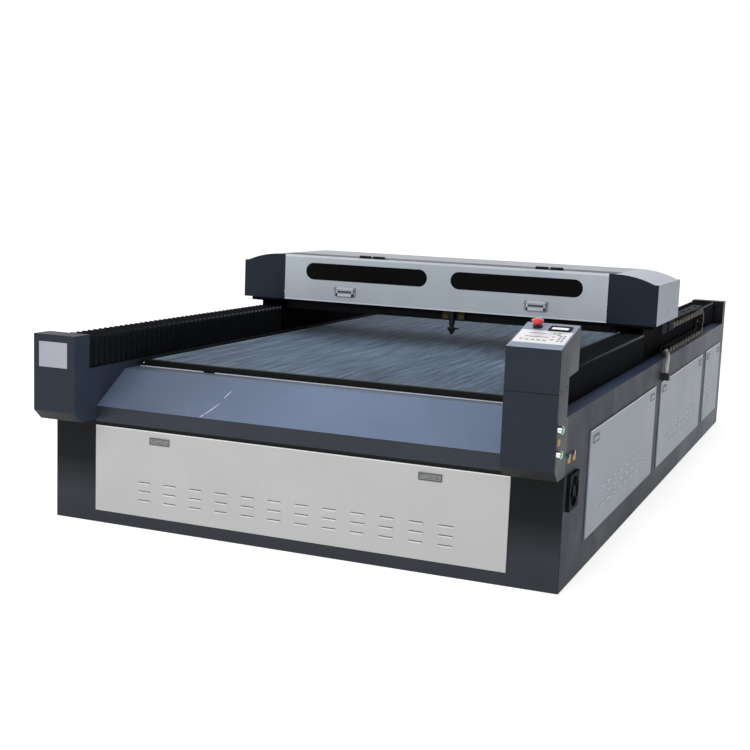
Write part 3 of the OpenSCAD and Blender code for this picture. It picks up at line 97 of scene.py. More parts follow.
def linear(rgb):
    """Linear colour of an 8-bit screen colour, by the sRGB curve."""
    levels = [c / 255 for c in rgb]
    return [((c + 0.055) / 1.055) ** 2.4 if c > 0.04 else c / 12.92 for c in levels] + [1.0]


def add(name, data):
    """Puts a new object into the scene."""
    made = bpy.data.objects.new(name, data)
    bpy.context.scene.collection.objects.link(made)
    return made


# Camera, solved from the edges of the photograph
CAM_PLACE = (2.1541, -6.4675, 1.4338)
CAM_YAW, CAM_PITCH, CAM_ROLL = -0.3887, -0.1489, 0.0389
CAM_SENSOR, CAM_LENS = 36, 61.06
CAM_SHIFT = (-0.00147, 0.0068)
CAM_REACH = 200
look = Vector((
    math.sin(CAM_YAW) * math.cos(CAM_PITCH),
    math.cos(CAM_YAW) * math.cos(CAM_PITCH),
    math.sin(CAM_PITCH),
))
level = Vector((math.cos(CAM_YAW), -math.sin(CAM_YAW), 0))
upright = level.cross(look)
cam_right = math.cos(CAM_ROLL) * level + math.sin(CAM_ROLL) * upright
cam_up = math.cos(CAM_ROLL) * upright - math.sin(CAM_ROLL) * level
camera = add("camera", bpy.data.cameras.new("camera"))
camera.matrix_world = Matrix((cam_right, cam_up, -look)).transposed().to_4x4()
camera.location = CAM_PLACE
camera.data.sensor_width = CAM_SENSOR
camera.data.lens = CAM_LENS
camera.data.shift_x, camera.data.shift_y = CAM_SHIFT
camera.data.clip_end = CAM_REACH
bpy.context.scene.camera = camera
bpy.context.scene.view_settings.view_transform = "Standard"


class Surface:
    """A procedural material: mottled colour, uneven roughness and a fine bump."""

    # Parts of the cloud noise over which colour and roughness change
    TONES = (0.32, 0.68)
    SHEEN = (0.3, 0.7)
    CLOUD_DETAIL, GRAIN_DETAIL, SCUFF_DETAIL = 5.0, 2.0, 8.0
    GRAIN_DEPTH = 0.0004
    # Colour sockets of a mix node
    MIX_A, MIX_B, MIX_RESULT = 6, 7, 2

    def __init__(self, name, low, high, rough=(0.4, 0.55), metal=0.0, size=5.0,
                 stretch=(1, 1, 1), grain=500.0, bump=0.06, spec=0.5, coat=0.0):
        self.material = bpy.data.materials.new(name)
        self.material.use_nodes = True
        self.tree = self.material.node_tree
        self.shader = self.tree.nodes["Principled BSDF"]
        self.set("Metallic", metal)
        self.set("Specular IOR Level", spec)
        self.set("Coat Weight", coat)
        self.place = self.node("ShaderNodeTexCoord").outputs["Object"]
        self.cloud = self.noise(size, self.CLOUD_DETAIL, stretch)
        self.colour = self.mottled((low, high))
        self.link(self.colour, self.shader.inputs["Base Color"])
        self.link(self.spread(self.cloud, self.SHEEN, rough), self.shader.inputs["Roughness"])
        self.relief(self.noise(grain, self.GRAIN_DETAIL, stretch), bump, self.GRAIN_DEPTH)

    def set(self, socket, value):
        self.shader.inputs[socket].default_value = value

    def node(self, kind):
        return self.tree.nodes.new(kind)

    def link(self, a, b):
        self.tree.links.new(a, b)

    def noise(self, size, detail, stretch=(1, 1, 1)):
        """Noise in the machine's own space, scaled along each axis."""
        mapping = self.node("ShaderNodeMapping")
        mapping.inputs["Scale"].default_value = stretch
        self.link(self.place, mapping.inputs["Vector"])
        texture = self.node("ShaderNodeTexNoise")
        texture.inputs["Scale"].default_value = size
        texture.inputs["Detail"].default_value = detail
        self.link(mapping.outputs["Vector"], texture.inputs["Vector"])
        return texture.outputs["Fac"]

    def ramp(self, value, stops):
        """Colour of a value between stops, each a place and an 8-bit colour."""
        ramp = self.node("ShaderNodeValToRGB")
        for element, (position, colour) in zip(ramp.color_ramp.elements, stops):
            element.position = position
            element.color = linear(colour)
        self.link(value, ramp.inputs["Fac"])
        return ramp.outputs["Color"]

    def mottled(self, colours):
        """Two near colours mixed by the cloud."""
        return self.ramp(self.cloud, zip(self.TONES, colours))

    def spread(self, value, span, to=(0.0, 1.0)):
        """A value's span, spread over another one."""
        mapped = self.node("ShaderNodeMapRange")
        for socket, number in zip(("From Min", "From Max", "To Min", "To Max"), (*span, *to)):
            mapped.inputs[socket].default_value = number
        self.link(value, mapped.inputs["Value"])
        return mapped.outputs["Result"]

    def relief(self, height, strength, depth):
        """A bump on top of the bumps that the surface already has."""
        bump = self.node("ShaderNodeBump")
        bump.inputs["Strength"].default_value = strength
        bump.inputs["Distance"].default_value = depth
        self.link(height, bump.inputs["Height"])
        held = self.shader.inputs["Normal"].links
        if held:
            self.link(held[0].from_socket, bump.inputs["Normal"])
        self.link(bump.outputs["Normal"], self.shader.inputs["Normal"])

    def over(self, mask, colour):
        """Lays another colour over the surface where the mask is white."""
        mix = self.node("ShaderNodeMix")
        mix.data_type = "RGBA"
        self.link(mask, mix.inputs["Factor"])
        self.link(self.colour, mix.inputs[self.MIX_A])
        self.link(colour, mix.inputs[self.MIX_B])
        self.colour = mix.outputs[self.MIX_RESULT]
        self.link(self.colour, self.shader.inputs["Base Color"])

    def scuffs(self, colour, size=18.0, span=(0.66, 0.74), stretch=(1, 1, 1), share=0.35):
        """Small worn or dusty patches."""
        mask = self.spread(self.noise(size, self.SCUFF_DETAIL, stretch), span, (0.0, share))
        self.over(mask, self.ramp(mask, [(0.0, colour), (1.0, colour)]))

    def facing(self, axis, colours, span=FLAT):
        """Another paint on the faces that point along an axis: painted light and shade on them."""
        dot = self.node("ShaderNodeVectorMath")
        dot.operation = "DOT_PRODUCT"
        dot.inputs[1].default_value = axis
        self.link(self.node("ShaderNodeNewGeometry").outputs["Normal"], dot.inputs[0])
        self.over(self.spread(dot.outputs["Value"], span), self.mottled(colours))

    def beyond(self, axis, span, colours):
        """Another paint from one place of the machine onwards, in the frame's metres, mostly used for
        painted light and shade.
        """
        split = self.node("ShaderNodeSeparateXYZ")
        self.link(self.place, split.inputs["Vector"])
        self.over(self.spread(split.outputs[axis], span), self.mottled(colours))

    def ridges(self, axis, scale, strength, depth):
        """Even ridges across an axis."""
        texture = self.node("ShaderNodeTexWave")
        texture.bands_direction = axis
        texture.inputs["Scale"].default_value = scale
        self.link(self.place, texture.inputs["Vector"])
        self.relief(texture.outputs["Fac"], strength, depth)

    def glow(self, colour, strength):
        """Light of its own."""
        self.set("Emission Color", colour)
        self.set("Emission Strength", strength)


# Surfaces, one for each of the record's slots: two near colours, then the range of roughness
PALE = ((196, 202, 213), (208, 213, 224))
KEYPAD_GLOW, SCREEN_GLOW, FLOOR_GLOW = 0.14, 0.35, 0.7
surfaces = {
    "paint_dark": Surface("dark_paint", (29, 34, 40), (34, 39, 46), (0.4, 0.54), spec=0.28),
    "paint_apron": Surface("apron_paint", (99, 113, 138), (104, 118, 144), (0.4, 0.52), spec=0.35),
    "paint_light": Surface("light_paint", (178, 179, 178), (182, 183, 182), (0.42, 0.56), spec=0.3),
    "paint_silver": Surface(
        "silver_paint", (192, 200, 209), (199, 207, 216), (0.4, 0.52), spec=0.35,
    ),
    "paint_pale": Surface("pale_paint", *PALE, (0.4, 0.52), spec=0.3),
    "paint_black": Surface("black_paint", (10, 11, 13), (15, 16, 19), (0.45, 0.6), spec=0.2),
    "bellows_cloth": Surface(
        "bellows_cloth", (15, 17, 21), (22, 24, 29), (0.7, 0.85), grain=900, bump=0.15, spec=0.12,
    ),
    "aluminium": Surface(
        "rib_aluminium", (122, 142, 164), (190, 212, 236), (0.5, 0.66), metal=0.1, size=14.0,
        stretch=(9, 0.2, 1), grain=200, bump=0.05, spec=0.35,
    ),
    "zinc_sheet": Surface("zinc_sheet", (84, 88, 92), (108, 112, 116), (0.35, 0.5), 0.4, 30.0),
    "steel": Surface(
        "ground_steel", (150, 154, 158), (182, 186, 190), (0.25, 0.38), 0.9, 40.0, (1, 6, 6),
    ),
    "chrome": Surface(
        "chrome", (205, 207, 211), (226, 228, 232), (0.08, 0.16), 1.0, 20.0, bump=0.01,
    ),
    "belt_rubber": Surface(
        "belt_rubber", (14, 14, 15), (26, 26, 27), (0.6, 0.75), grain=700, bump=0.1,
    ),
    "motor_black": Surface("motor_black", (16, 16, 17), (28, 28, 30), (0.4, 0.55)),
    "unit_case": Surface("unit_case", (98, 102, 108), (124, 128, 134), (0.34, 0.48), 0.5, 12.0),
    "keypad_film": Surface("keypad_film", (244, 245, 249), (251, 252, 254), (0.3, 0.4)),
    "black_plastic": Surface(
        "black_plastic", (14, 14, 16), (26, 26, 29), (0.38, 0.52), grain=1200, bump=0.12,
    ),
    "red_plastic": Surface("red_plastic", (222, 34, 46), (238, 50, 60), (0.18, 0.28), coat=0.6),
    "green_plastic": Surface("green_plastic", (34, 150, 74), (50, 172, 92), (0.18, 0.28), coat=0.3),
    "chain_plastic": Surface("chain_plastic", (14, 13, 12), (24, 22, 19), (0.5, 0.65), spec=0.25),
    "conduit_plastic": Surface("conduit_plastic", (176, 172, 174), (200, 196, 198), (0.4, 0.55)),
    "tube_glass": Surface("tube_glass", (206, 222, 228), (226, 238, 242), (0.04, 0.1), bump=0.005),
    "window_acrylic": Surface(
        "window_acrylic", (4, 5, 6), (7, 8, 9), (0.12, 0.22), bump=0.004, spec=0.05,
    ),
    "hinge_black": Surface("hinge_black", (12, 12, 14), (20, 20, 23), (0.45, 0.6), spec=0.3),
    "head_black": Surface("head_black", (20, 20, 23), (32, 33, 36), (0.3, 0.42), 0.3),
}
surfaces["paint_dark"].scuffs((66, 70, 78), share=0.25)
apron_paint = surfaces["paint_apron"]
apron_paint.scuffs((132, 144, 166), 14.0, share=0.15)
# Painted light on the apron: darker at the left end, lightest in the middle and a little less light on the
# right; its front-facing lip painted darker
apron_paint.beyond("X", (-0.65, 0.0), ((120, 137, 168), (126, 143, 174)))
apron_paint.beyond("X", (0.25, 0.7), ((112, 129, 158), (118, 135, 165)))
apron_paint.facing(FRONT, ((31, 37, 46), (38, 45, 55)))
surfaces["paint_light"].scuffs((170, 171, 170), 10.0, share=0.1)
# Painted highlight on the faces that look forward and up, such as the upper facets of the louvre hoods
surfaces["paint_light"].facing(FRONT_LIP, ((226, 226, 224), (236, 236, 234)), LIP)
ribs = surfaces["aluminium"]
# Painted reflection: a lighter band across the middle of the bed's length
ribs.beyond("Y", (-1.5, -0.9), ((138, 160, 184), (208, 230, 252)))
ribs.beyond("Y", (-0.45, -0.2), ((120, 140, 162), (186, 207, 230)))
ribs.scuffs((92, 108, 126), 7.0, (0.5, 0.7), (9, 0.3, 1), 0.4)
# Painted highlight on the front faces of the ribs
ribs.facing(FRONT, ((224, 224, 221), (236, 236, 233)))
cloth = surfaces["bellows_cloth"]
# Painted light on the upward faces of the bellows
cloth.facing(UP, ((21, 24, 30), (28, 31, 38)), (0.25, 0.5))
cloth.scuffs((24, 24, 27), 60.0)
surfaces["tube_glass"].set("Transmission Weight", 0.7)
# The keypad film glows a little: a painted brightness, as the keypad has no light of its own
surfaces["keypad_film"].glow(WHITE, KEYPAD_GLOW)
surfaces["belt_rubber"].ridges("Y", scale=62.0, strength=0.6, depth=0.002)

# Painted highlights along the top and the foot of the flap, where its edges catch the light
FLAP_TOP, FLAP_FOOT = (0.012, 0.009), (0.008, 0.006)
flap_low, flap_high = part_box("flap")
flap_highlights = [
    [flap_high.z - inset for inset in FLAP_TOP],
    [flap_low.z + inset for inset in FLAP_FOOT],
]
for edge in flap_highlights:
    surfaces["paint_silver"].beyond("Z", edge, ((226, 232, 240), (234, 240, 248)))

# Paints of single nodes, with the light and shade that the photograph shows on their faces
cap_paint = Surface("cap_paint", (224, 233, 247), (231, 239, 252), (0.4, 0.52), spec=0.2)
# Caps: front faces painted dark; right faces a mid grey as painted shade against the pale tops
cap_paint.facing(FRONT, ((22, 31, 44), (28, 37, 52)), (0.6, 0.7))
cap_paint.facing(RIGHT, ((141, 149, 161), (150, 158, 170)), (0.9, 0.96))
box_paint = Surface("box_paint", (33, 40, 49), (39, 46, 56), (0.4, 0.54), spec=0.18)
box_paint.scuffs((66, 70, 78), share=0.2)
# Painted light on the right and upward faces of the end boxes; painted shade under their noses and over the
# rear boxes
box_paint.facing(RIGHT, ((50, 59, 75), (57, 66, 83)), (0.8, 0.95))
box_paint.facing(UP, ((36, 43, 56), (42, 49, 63)))
box_paint.facing(NOSE_UNDER, ((8, 10, 12), (12, 14, 16)))
box_paint.beyond("Y", (1.7, 1.8), ((12, 16, 22), (17, 21, 28)))
rail_paint = Surface("rail_paint", (47, 56, 71), (54, 63, 79), (0.45, 0.6), spec=0.28)
rail_paint.beyond("X", (0.4, 0.6), ((12, 13, 17), (17, 18, 23)))
console_paint = Surface("console_paint", (25, 33, 43), (31, 39, 50), (0.4, 0.54), spec=0.22)
console_paint.scuffs((58, 64, 73), share=0.2)
# Painted shade on the faces underneath the console
console_paint.facing(NOSE_UNDER, ((14, 16, 17), (18, 20, 21)))
plate_paint = Surface(
    "console_plate_paint", (147, 160, 186), (158, 171, 197), (0.35, 0.48), spec=0.4,
)
skin_paint = Surface("side_skin_paint", (29, 37, 49), (36, 44, 57), (0.4, 0.54), spec=0.08)
skin_paint.scuffs((58, 63, 71), share=0.12)
# Painted reflection, lighter towards the rear of the side skins, and painted light on their upward faces
skin_paint.beyond("Y", (0.2, 1.5), ((74, 81, 91), (82, 89, 99)))
skin_paint.facing(UP, ((72, 84, 112), (82, 94, 124)))
front_paint = Surface("front_skin_paint", (47, 50, 56), (52, 55, 61), (0.4, 0.54), spec=0.12)
# Painted shade over the upper part of the front skin, below the apron and the end boxes
front_paint.beyond("Z", (0.12, 0.27), ((16, 18, 20), (20, 22, 24)))
truck_black = Surface("truck_black", (9, 10, 12), (13, 14, 17), (0.7, 0.85), spec=0.02)
# The side doors and left panels carry a darker copy of the front panel's light paint, as painted shade
door_paint = Surface("door_paint", (143, 151, 160), (149, 157, 166), (0.42, 0.56), spec=0.3)
door_paint.scuffs((136, 144, 153), 10.0, share=0.12)
# Painted highlight on the upper facets of the louvre hoods on the side doors
door_paint.facing(SIDE_LIP, ((232, 237, 242), (240, 245, 250)), LIP)
# Grey of the latch rims, also used as painted shade on the front panel's louvre tongues
latch_and_shade_grey = Surface("latch_and_shade_grey", (80, 82, 84), (96, 98, 100), (0.4, 0.55), spec=0.3)
paddle_grey = Surface(
    "paddle_grey", (98, 100, 102), (132, 134, 136), (0.35, 0.5), size=90.0, spec=0.3,
)
bail_silver = Surface("bail_silver", (212, 217, 227), (226, 231, 240), (0.25, 0.38), spec=0.5)
bracket_silver = Surface("bracket_silver", (146, 153, 162), (156, 163, 172), (0.35, 0.5), spec=0.3)
line_grey = Surface("line_grey", (62, 67, 73), (74, 79, 85), (0.4, 0.55), spec=0.3)
chain_ochre = Surface("chain_ochre", (24, 22, 17), (94, 78, 46), (0.5, 0.65), size=110.0, spec=0.15)
arm_paint = Surface("arm_paint", (30, 33, 37), (38, 41, 46), (0.7, 0.85), spec=0.03)
# Painted light on the upward faces of the chain arm
arm_paint.facing(UP, ((72, 77, 85), (84, 89, 97)))
fan_black = Surface("fan_black", (14, 16, 20), (22, 24, 29), (0.6, 0.75), spec=0.06)

# The hood has a painted shade strip along its hinge line, for the shaded step behind the flap, from one fade
# to another
HOOD_SHADE = ((70, 78, 90), (80, 88, 101))
HOOD_FADES = ((1650, 1660), (1800, 1850))
hood_paint = Surface("hood_paint", *PALE, (0.4, 0.52), spec=0.3)
for fade_in, colours in zip(HOOD_FADES, (HOOD_SHADE, PALE)):
    hood_paint.beyond("Y", [(y - BASE_L / 2) / 1000 for y in fade_in], colours)


def finish_of(slot):
    """Material of one of the record's slots."""
    return surfaces[slot].material


slot_of = {part["node"]: part["material_slot"] for part in frame["record"]["subparts"]}
for name, node in cad.items():
    node.data.materials.clear()
    node.data.materials.append(finish_of(slot_of[name]))
own_finish = (
    (cap_paint, "gantry_caps"),
    (box_paint, "end_boxes"),
    (rail_paint, "rail_beams"),
    (console_paint, "console_box", "console_pedestal"),
    (plate_paint, "console_plate"),
    (skin_paint, "right_skin", "left_skin"),
    (front_paint, "front_skin"),
    (truck_black, "trucks"),
    (door_paint, "right_door_1", "right_door_2", "right_door_3", "left_panels"),
    (paddle_grey, "front_latches"),
    (bail_silver, "handle_bails"),
    (bracket_silver, "handle_plates"),
    (surfaces["paint_black"], "lcd_display"),
    (arm_paint, "chain_arm"),
    (fan_black, "fan_housing", "fan_rotor"),
    (hood_paint, "gantry_hood"),
)
for surface, *names in own_finish:
    for name in names:
        cad[name].data.materials[0] = surface.material

# Edges of these CAD nodes are rounded a little, so that they catch the light
WELD = 0.00002
SOFT_EDGE = 0.0008
SOFT_ANGLE = math.radians(40)
softened = (
    "front_door", "right_door_1", "right_door_2", "right_door_3", "flap", "end_boxes",
    "console_box", "console_pedestal", "console_plate", "bed_frame", "lcd_display", "keypad",
    "chain_arm", "trucks", "left_panels", "handle_plates",
)
for name in softened:
    weld = cad[name].modifiers.new("weld", "WELD")
    weld.merge_threshold = WELD
    bevel = cad[name].modifiers.new("bevel", "BEVEL")
    bevel.width = SOFT_EDGE
    bevel.segments = 2
    bevel.limit_method = "ANGLE"
    bevel.angle_limit = SOFT_ANGLE
    bevel.harden_normals = True


def circle(sides):
    """Cosine and sine of each corner of a regular polygon."""
    turns = (k * 2 * math.pi / sides for k in range(sides))
    return [(math.cos(a), math.sin(a)) for a in turns]


class Piece:
    """Small solids in millimetres on the machine's faces, gathered into one object."""

    DISC_SIDES, RING_SIDES = 20, 32
    # Height of a screw head's steps, its radii as shares of the foot, and its fine bars
    STEP, WAIST, CROWN = 0.9, 0.96, 0.55
    BAR_L, BAR_W, BAR_T, BAR_LIFT = 0.9, 0.16, 0.25, 1.75
    BAR_EDGE, RIM_EDGE = 0.05, 0.2
    # Height of a flat mark, and the steps over which its ends narrow
    MARK_LIFT, TAPER = 0.15, 0.6

    def __init__(self, name, slot, body="base", material=None):
        self.name, self.slot, self.body = name, slot, body
        self.material = material or finish_of(slot)
        self.mesh = bmesh.new()

    def slab(self, face, u, v, w, h, t, lift=0.0, edge=0.4, turn=0.0):
        """A plate on a face with rounded edges."""
        place = face @ Matrix.Translation((u, v, lift + t / 2)) @ Matrix.Rotation(turn, 4, "Z")
        size = Matrix.Diagonal((w, h, t, 1))
        made = bmesh.ops.create_cube(self.mesh, size=1, matrix=place @ size)
        edges = list(dict.fromkeys(e for vert in made["verts"] for e in vert.link_edges))
        bmesh.ops.bevel(
            self.mesh, geom=edges, offset=edge / 1000, segments=2, profile=0.6, affect="EDGES",
        )

    def disc(self, face, u, v, foot, top, t, lift=0.0):
        """A round boss on a face, with the radii of its foot and its top."""
        place = face @ Matrix.Translation((u, v, lift + t / 2))
        bmesh.ops.create_cone(
            self.mesh, cap_ends=True, segments=self.DISC_SIDES, radius1=foot, radius2=top,
            depth=t, matrix=place,
        )

    def band(self, a, b, smooth=False):
        """Faces between two closed rows of points."""
        for k in range(len(a)):
            ahead = (k + 1) % len(a)
            self.mesh.faces.new((a[k], a[ahead], b[ahead], b[k])).smooth = smooth

    def ring(self, face, u, v, outer, inner, t, lift=0.0):
        """A round collar on a face."""
        corners = ((inner, lift), (outer, lift), (outer, lift + t), (inner, lift + t))
        loops = [
            [
                self.mesh.verts.new(face @ Vector((u + r * c, v + r * s, z)))
                for c, s in circle(self.RING_SIDES)
            ]
            for r, z in corners
        ]
        for a, b in zip(loops, loops[1:] + loops[:1]):
            self.band(a, b)

    def rim(self, face, u, v, w, h, width, t):
        """A rectangular frame on a face."""
        for k in (-1, 1):
            across, upwards = k * (w - width) / 2, k * (h - width) / 2
            self.slab(face, u, v + upwards, w, width, t, 0.0, self.RIM_EDGE)
            self.slab(face, u + across, v, width, h - 2 * width, t, 0.0, self.RIM_EDGE)

    def screw(self, face, u, v, r):
        """A domed screw head with its cross standing out as two fine bars."""
        self.disc(face, u, v, r, r * self.WAIST, self.STEP)
        self.disc(face, u, v, r * self.WAIST, r * self.CROWN, self.STEP, self.STEP)
        for turn in (0, math.pi / 2):
            self.slab(
                face, u, v, r * self.BAR_L, r * self.BAR_W, self.BAR_T, self.BAR_LIFT,
                self.BAR_EDGE, turn,
            )

    def strip(self, face, points, width):
        """A flat mark along points on a face, narrow at both ends."""
        rows = []
        last = len(points) - 1
        for i, (u, v) in enumerate(points):
            a, b = Vector(points[max(i - 1, 0)]), Vector(points[min(i + 1, last)])
            side = Vector((a.y - b.y, b.x - a.x)).normalized() * width / 2
            side *= math.sin(math.pi * (i + self.TAPER) / (last + 2 * self.TAPER))
            rows.append([
                self.mesh.verts.new(face @ Vector((u + k * side.x, v + k * side.y, self.MARK_LIFT)))
                for k in (-1, 1)
            ])
        for a, b in zip(rows, rows[1:]):
            self.mesh.faces.new((a[0], b[0], b[1], a[1]))

    def sweep(self, points, radii, sides):
        """A round rod along points given in the frame's metres, with a radius at each of them."""
        rings, side = [], None
        last = len(points) - 1
        for i, (point, radius) in enumerate(zip(points, radii)):
            along = (points[min(i + 1, last)] - points[max(i - 1, 0)]).normalized()
            side = side or along.orthogonal()
            side = (side - side.dot(along) * along).normalized()
            other = along.cross(side)
            rings.append([
                self.mesh.verts.new(point + radius / 1000 * (c * side + s * other))
                for c, s in circle(sides)
            ])
        for a, b in zip(rings, rings[1:]):
            self.band(a, b, smooth=True)
        self.mesh.faces.new(rings[0][::-1])
        self.mesh.faces.new(rings[-1])

    def done(self):
        """Makes the object and lets it ride on its body."""
        bmesh.ops.recalc_face_normals(self.mesh, faces=self.mesh.faces)
        data = bpy.data.meshes.new(self.name)
        self.mesh.to_mesh(data)
        self.mesh.free()
        data.materials.append(self.material)
        piece = add(self.name, data)
        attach(piece, self.body)
        return piece


def plates(name, slot, rows, body="base", material=None):
    """A piece made of slabs: face, place, size, thickness, lift and edge of each."""
    piece = Piece(name, slot, body, material)
    for row in rows:
        piece.slab(*row)
    piece.done()


def screws(name, slot, rows, body="base"):
    """A piece made of screws: face, place and radius of each."""
    piece = Piece(name, slot, body)
    for row in rows:
        piece.screw(*row)
    piece.done()


def face(origin, u, v):
    """Places millimetres on a flat face: first axis, second axis, and outwards."""
    u, v = Vector(u).normalized(), Vector(v).normalized()
    turn = Matrix((u, v, u.cross(v))).transposed().to_4x4()
    return Matrix.Translation(at(*origin)) @ turn @ Matrix.Scale(0.001, 4)


def front(y):
    return face((0, y, 0), (1, 0, 0), UP)


def back(y):
    return face((0, y, 0), (-1, 0, 0), UP)


def right(x):
    return face((x, 0, 0), (0, 1, 0), UP)


def left(x):
    return face((x, 0, 0), (0, -1, 0), UP)


def top(z):
    return face((0, 0, z), (1, 0, 0), (0, 1, 0))


slope = (0, math.cos(CONSOLE_TILT), math.sin(CONSOLE_TILT))
console = face((CONSOLE_X, NOSE_Y, CONSOLE_Z), (1, 0, 0), slope)

# Conduit from the drag chain's fixed end into its gland, along the route of its CAD solid
HOSE_START = at(1100, 2150, 660)
RIDGE_R, GROOVE_R = 10.0, 8.9
HOSE_SIDES = 20
ROUTE_STEPS = 20
hose_route = [
    (-0.027, -0.006, 0.016), (-0.027, -0.040, 0.016), (-0.026, -0.075, 0.016),
    (-0.019, -0.110, 0.018), (-0.007, -0.139, 0.020), (0.005, -0.166, 0.020),
    (0.013, -0.197, 0.014), (0.017, -0.223, -0.003), (0.018, -0.240, -0.029),
    (0.018, -0.246, -0.060), (0.018, -0.246, -0.070), (0.018, -0.246, -0.082),
]


def smooth(points, steps):
    """A smooth curve through points, by the Catmull-Rom formula."""
    curve = []
    last = len(points) - 1
    for i in range(last):
        a, b, c, d = (points[min(max(i + j, 0), last)] for j in (-1, 0, 1, 2))
        square = 2 * a - 5 * b + 4 * c - d
        cubic = 3 * (b - c) + d - a
        for k in range(steps):
            t = k / steps
            curve.append(b + t / 2 * (c - a + t * (square + t * cubic)))
    return curve + [points[last]]


route = smooth([HOSE_START + Vector(p) for p in hose_route], ROUTE_STEPS)
hose = Piece("conduit", "conduit_plastic")
radii = [RIDGE_R if i // 2 % 2 == 0 else GROOVE_R for i in range(len(route))]
hose.sweep(route, radii, HOSE_SIDES)
hose = hose.done()
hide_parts("cable_hose")


def stretched(name, node, share, cuts):
    """A copy of a CAD node, cut along planes, whose points make a share of the gantry's travel."""
    piece = add(name, cad[node].data.copy())
    mesh = bmesh.new()
    mesh.from_mesh(piece.data)
    for axis, place in cuts:
        bmesh.ops.bisect_plane(
            mesh, geom=mesh.verts[:] + mesh.edges[:] + mesh.faces[:],
            plane_co=Vector(axis) * place, plane_no=Vector(axis),
        )
    mesh.to_mesh(piece.data)
    mesh.free()
    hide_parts(node)
    low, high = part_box(node)
    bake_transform(piece, "base", "gantry", start=(0, low.y, 0), end=(0, high.y, 0))
    weights = piece.data.attributes["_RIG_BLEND"].data
    for vertex, weight in zip(piece.data.vertices, weights):
        weight.value = share(vertex.co)
    return piece


def between(a, b):
    """Share of the way from a to b along the machine, from 0 to 1."""
    return lambda p: min(max((p.y - a) / (b - a), 0), 1)


# Bellows: the left and the right cloth in front of the gantry start at different places
CLOTH_OUT, CLOTH_IN, CLOTH_TOP = 1.038, 0.902, 0.794
FOLD_D = 0.018
TICK = 0.014
_, front_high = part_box("front_bellows")
rear_low, rear_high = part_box("rear_bellows")
front_points = [v.co for v in cad["front_bellows"].data.vertices]
right_start = min(p.y for p in front_points if p.x > 0)
left_start = min(p.y for p in front_points if p.x < 0)


def front_share(p):
    return between(right_start if p.x > 0 else left_start, front_high.y)(p)


# Cuts that give the corners of the folds points of their own for the painted tick highlights
fold_cuts = [(UP, CLOTH_TOP - TICK)]
fold_cuts += [(RIGHT, s * x) for s in (-1, 1) for x in (CLOTH_OUT - TICK, CLOTH_IN + TICK)]
rear_share = between(rear_high.y, rear_low.y)
bellows = [
    stretched("bellows_front", "front_bellows", front_share, fold_cuts),
    stretched("bellows_rear", "rear_bellows", rear_share, fold_cuts),
]

# Drag chain, with an ochre line along the outer plates of both runs and round the bend
CHAIN_Y0, CHAIN_Y1 = at(0, 2150, 0).y, at(0, 3206, 0).y
CHAIN_MID = 0.7391
CHAIN_PLATE_X = 1.0864
LINE_LOW, LINE_HIGH, LINK_H = 0.005, 0.018, 0.028


def chain_share(p):
    """Half of the travel along each run, from the base's end below to the gantry's end above."""
    along = between(CHAIN_Y0, CHAIN_Y1)(p) / 2
    return along if p.z < CHAIN_MID else 1 - along


chain_low, chain_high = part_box("drag_chain")
run_feet = (chain_low.z, chain_high.z - LINK_H)
line_bands = [(foot + LINE_LOW, foot + LINE_HIGH) for foot in run_feet]
line_cuts = [(UP, z) for band in line_bands for z in band]
chain = stretched("chain_links", "drag_chain", chain_share, line_cuts)
chain.data.materials.append(chain_ochre.material)
for polygon in chain.data.polygons:
    middle = polygon.center
    lined = middle.y > CHAIN_Y1 or any(a < middle.z < b for a, b in line_bands)
    if middle.x > CHAIN_PLATE_X and lined:
        polygon.material_index = 1

# Painted highlights on the bellows: the folds get lighter towards their crests, with a light tick painted on
# each corner that is brighter near the gantry
CLOTH_NOISE, CLOTH_DETAIL = 90.0, 3.0
FOLD_HIGHLIGHT = (0.45, (18, 20, 24), (27, 29, 34))
TICK_HIGHLIGHT = (0.15, (108, 112, 120), (136, 140, 148))
NEAR = 0.001
TICK_LOW = 0.1
for mark, (low, dark, light) in (("fold", FOLD_HIGHLIGHT), ("tick", TICK_HIGHLIGHT)):
    value = cloth.node("ShaderNodeAttribute")
    value.attribute_name = mark
    mask = cloth.spread(value.outputs["Fac"], (low, 1.0))
    noise = cloth.noise(CLOTH_NOISE, CLOTH_DETAIL)
    cloth.over(mask, cloth.ramp(noise, [(0.3, dark), (0.7, light)]))
for piece, cloth_end in zip(bellows, (front_high.y, rear_low.y)):
    brighter = between(left_start, cloth_end)
    folds = piece.data.attributes.new("fold", "FLOAT", "POINT").data
    ticks = piece.data.attributes.new("tick", "FLOAT", "POINT").data
    for vertex, fold, tick in zip(piece.data.vertices, folds, ticks):
        x, z = abs(vertex.co.x), vertex.co.z
        side = min(CLOTH_OUT - x, x - CLOTH_IN)
        fold.value = min(max(1 - min(side, CLOTH_TOP - z) / FOLD_D, 0), 1)
        if CLOTH_TOP - z < NEAR and side < NEAR:
            tick.value = TICK_LOW + (1 - TICK_LOW) * brighter(vertex.co)

# Thickness, lift and edge of thin slabs
FILM = (0.5, 0.0, 0.2)
TAG = (0.6, 0.0, 0.2)
TRIM = (0.3, 0.0, 0.1)
SEAM = (0.2, 0.0, 0.08)
CLIP = (3.2, 0.0, 0.3)
KEY = (0.4, PLATE_T + KEY_T, 0.15)
GLASS = (0.8, PLATE_T + 3, 0.2)
SCREEN = (0.5, PLATE_T + 3.8, 0.1)

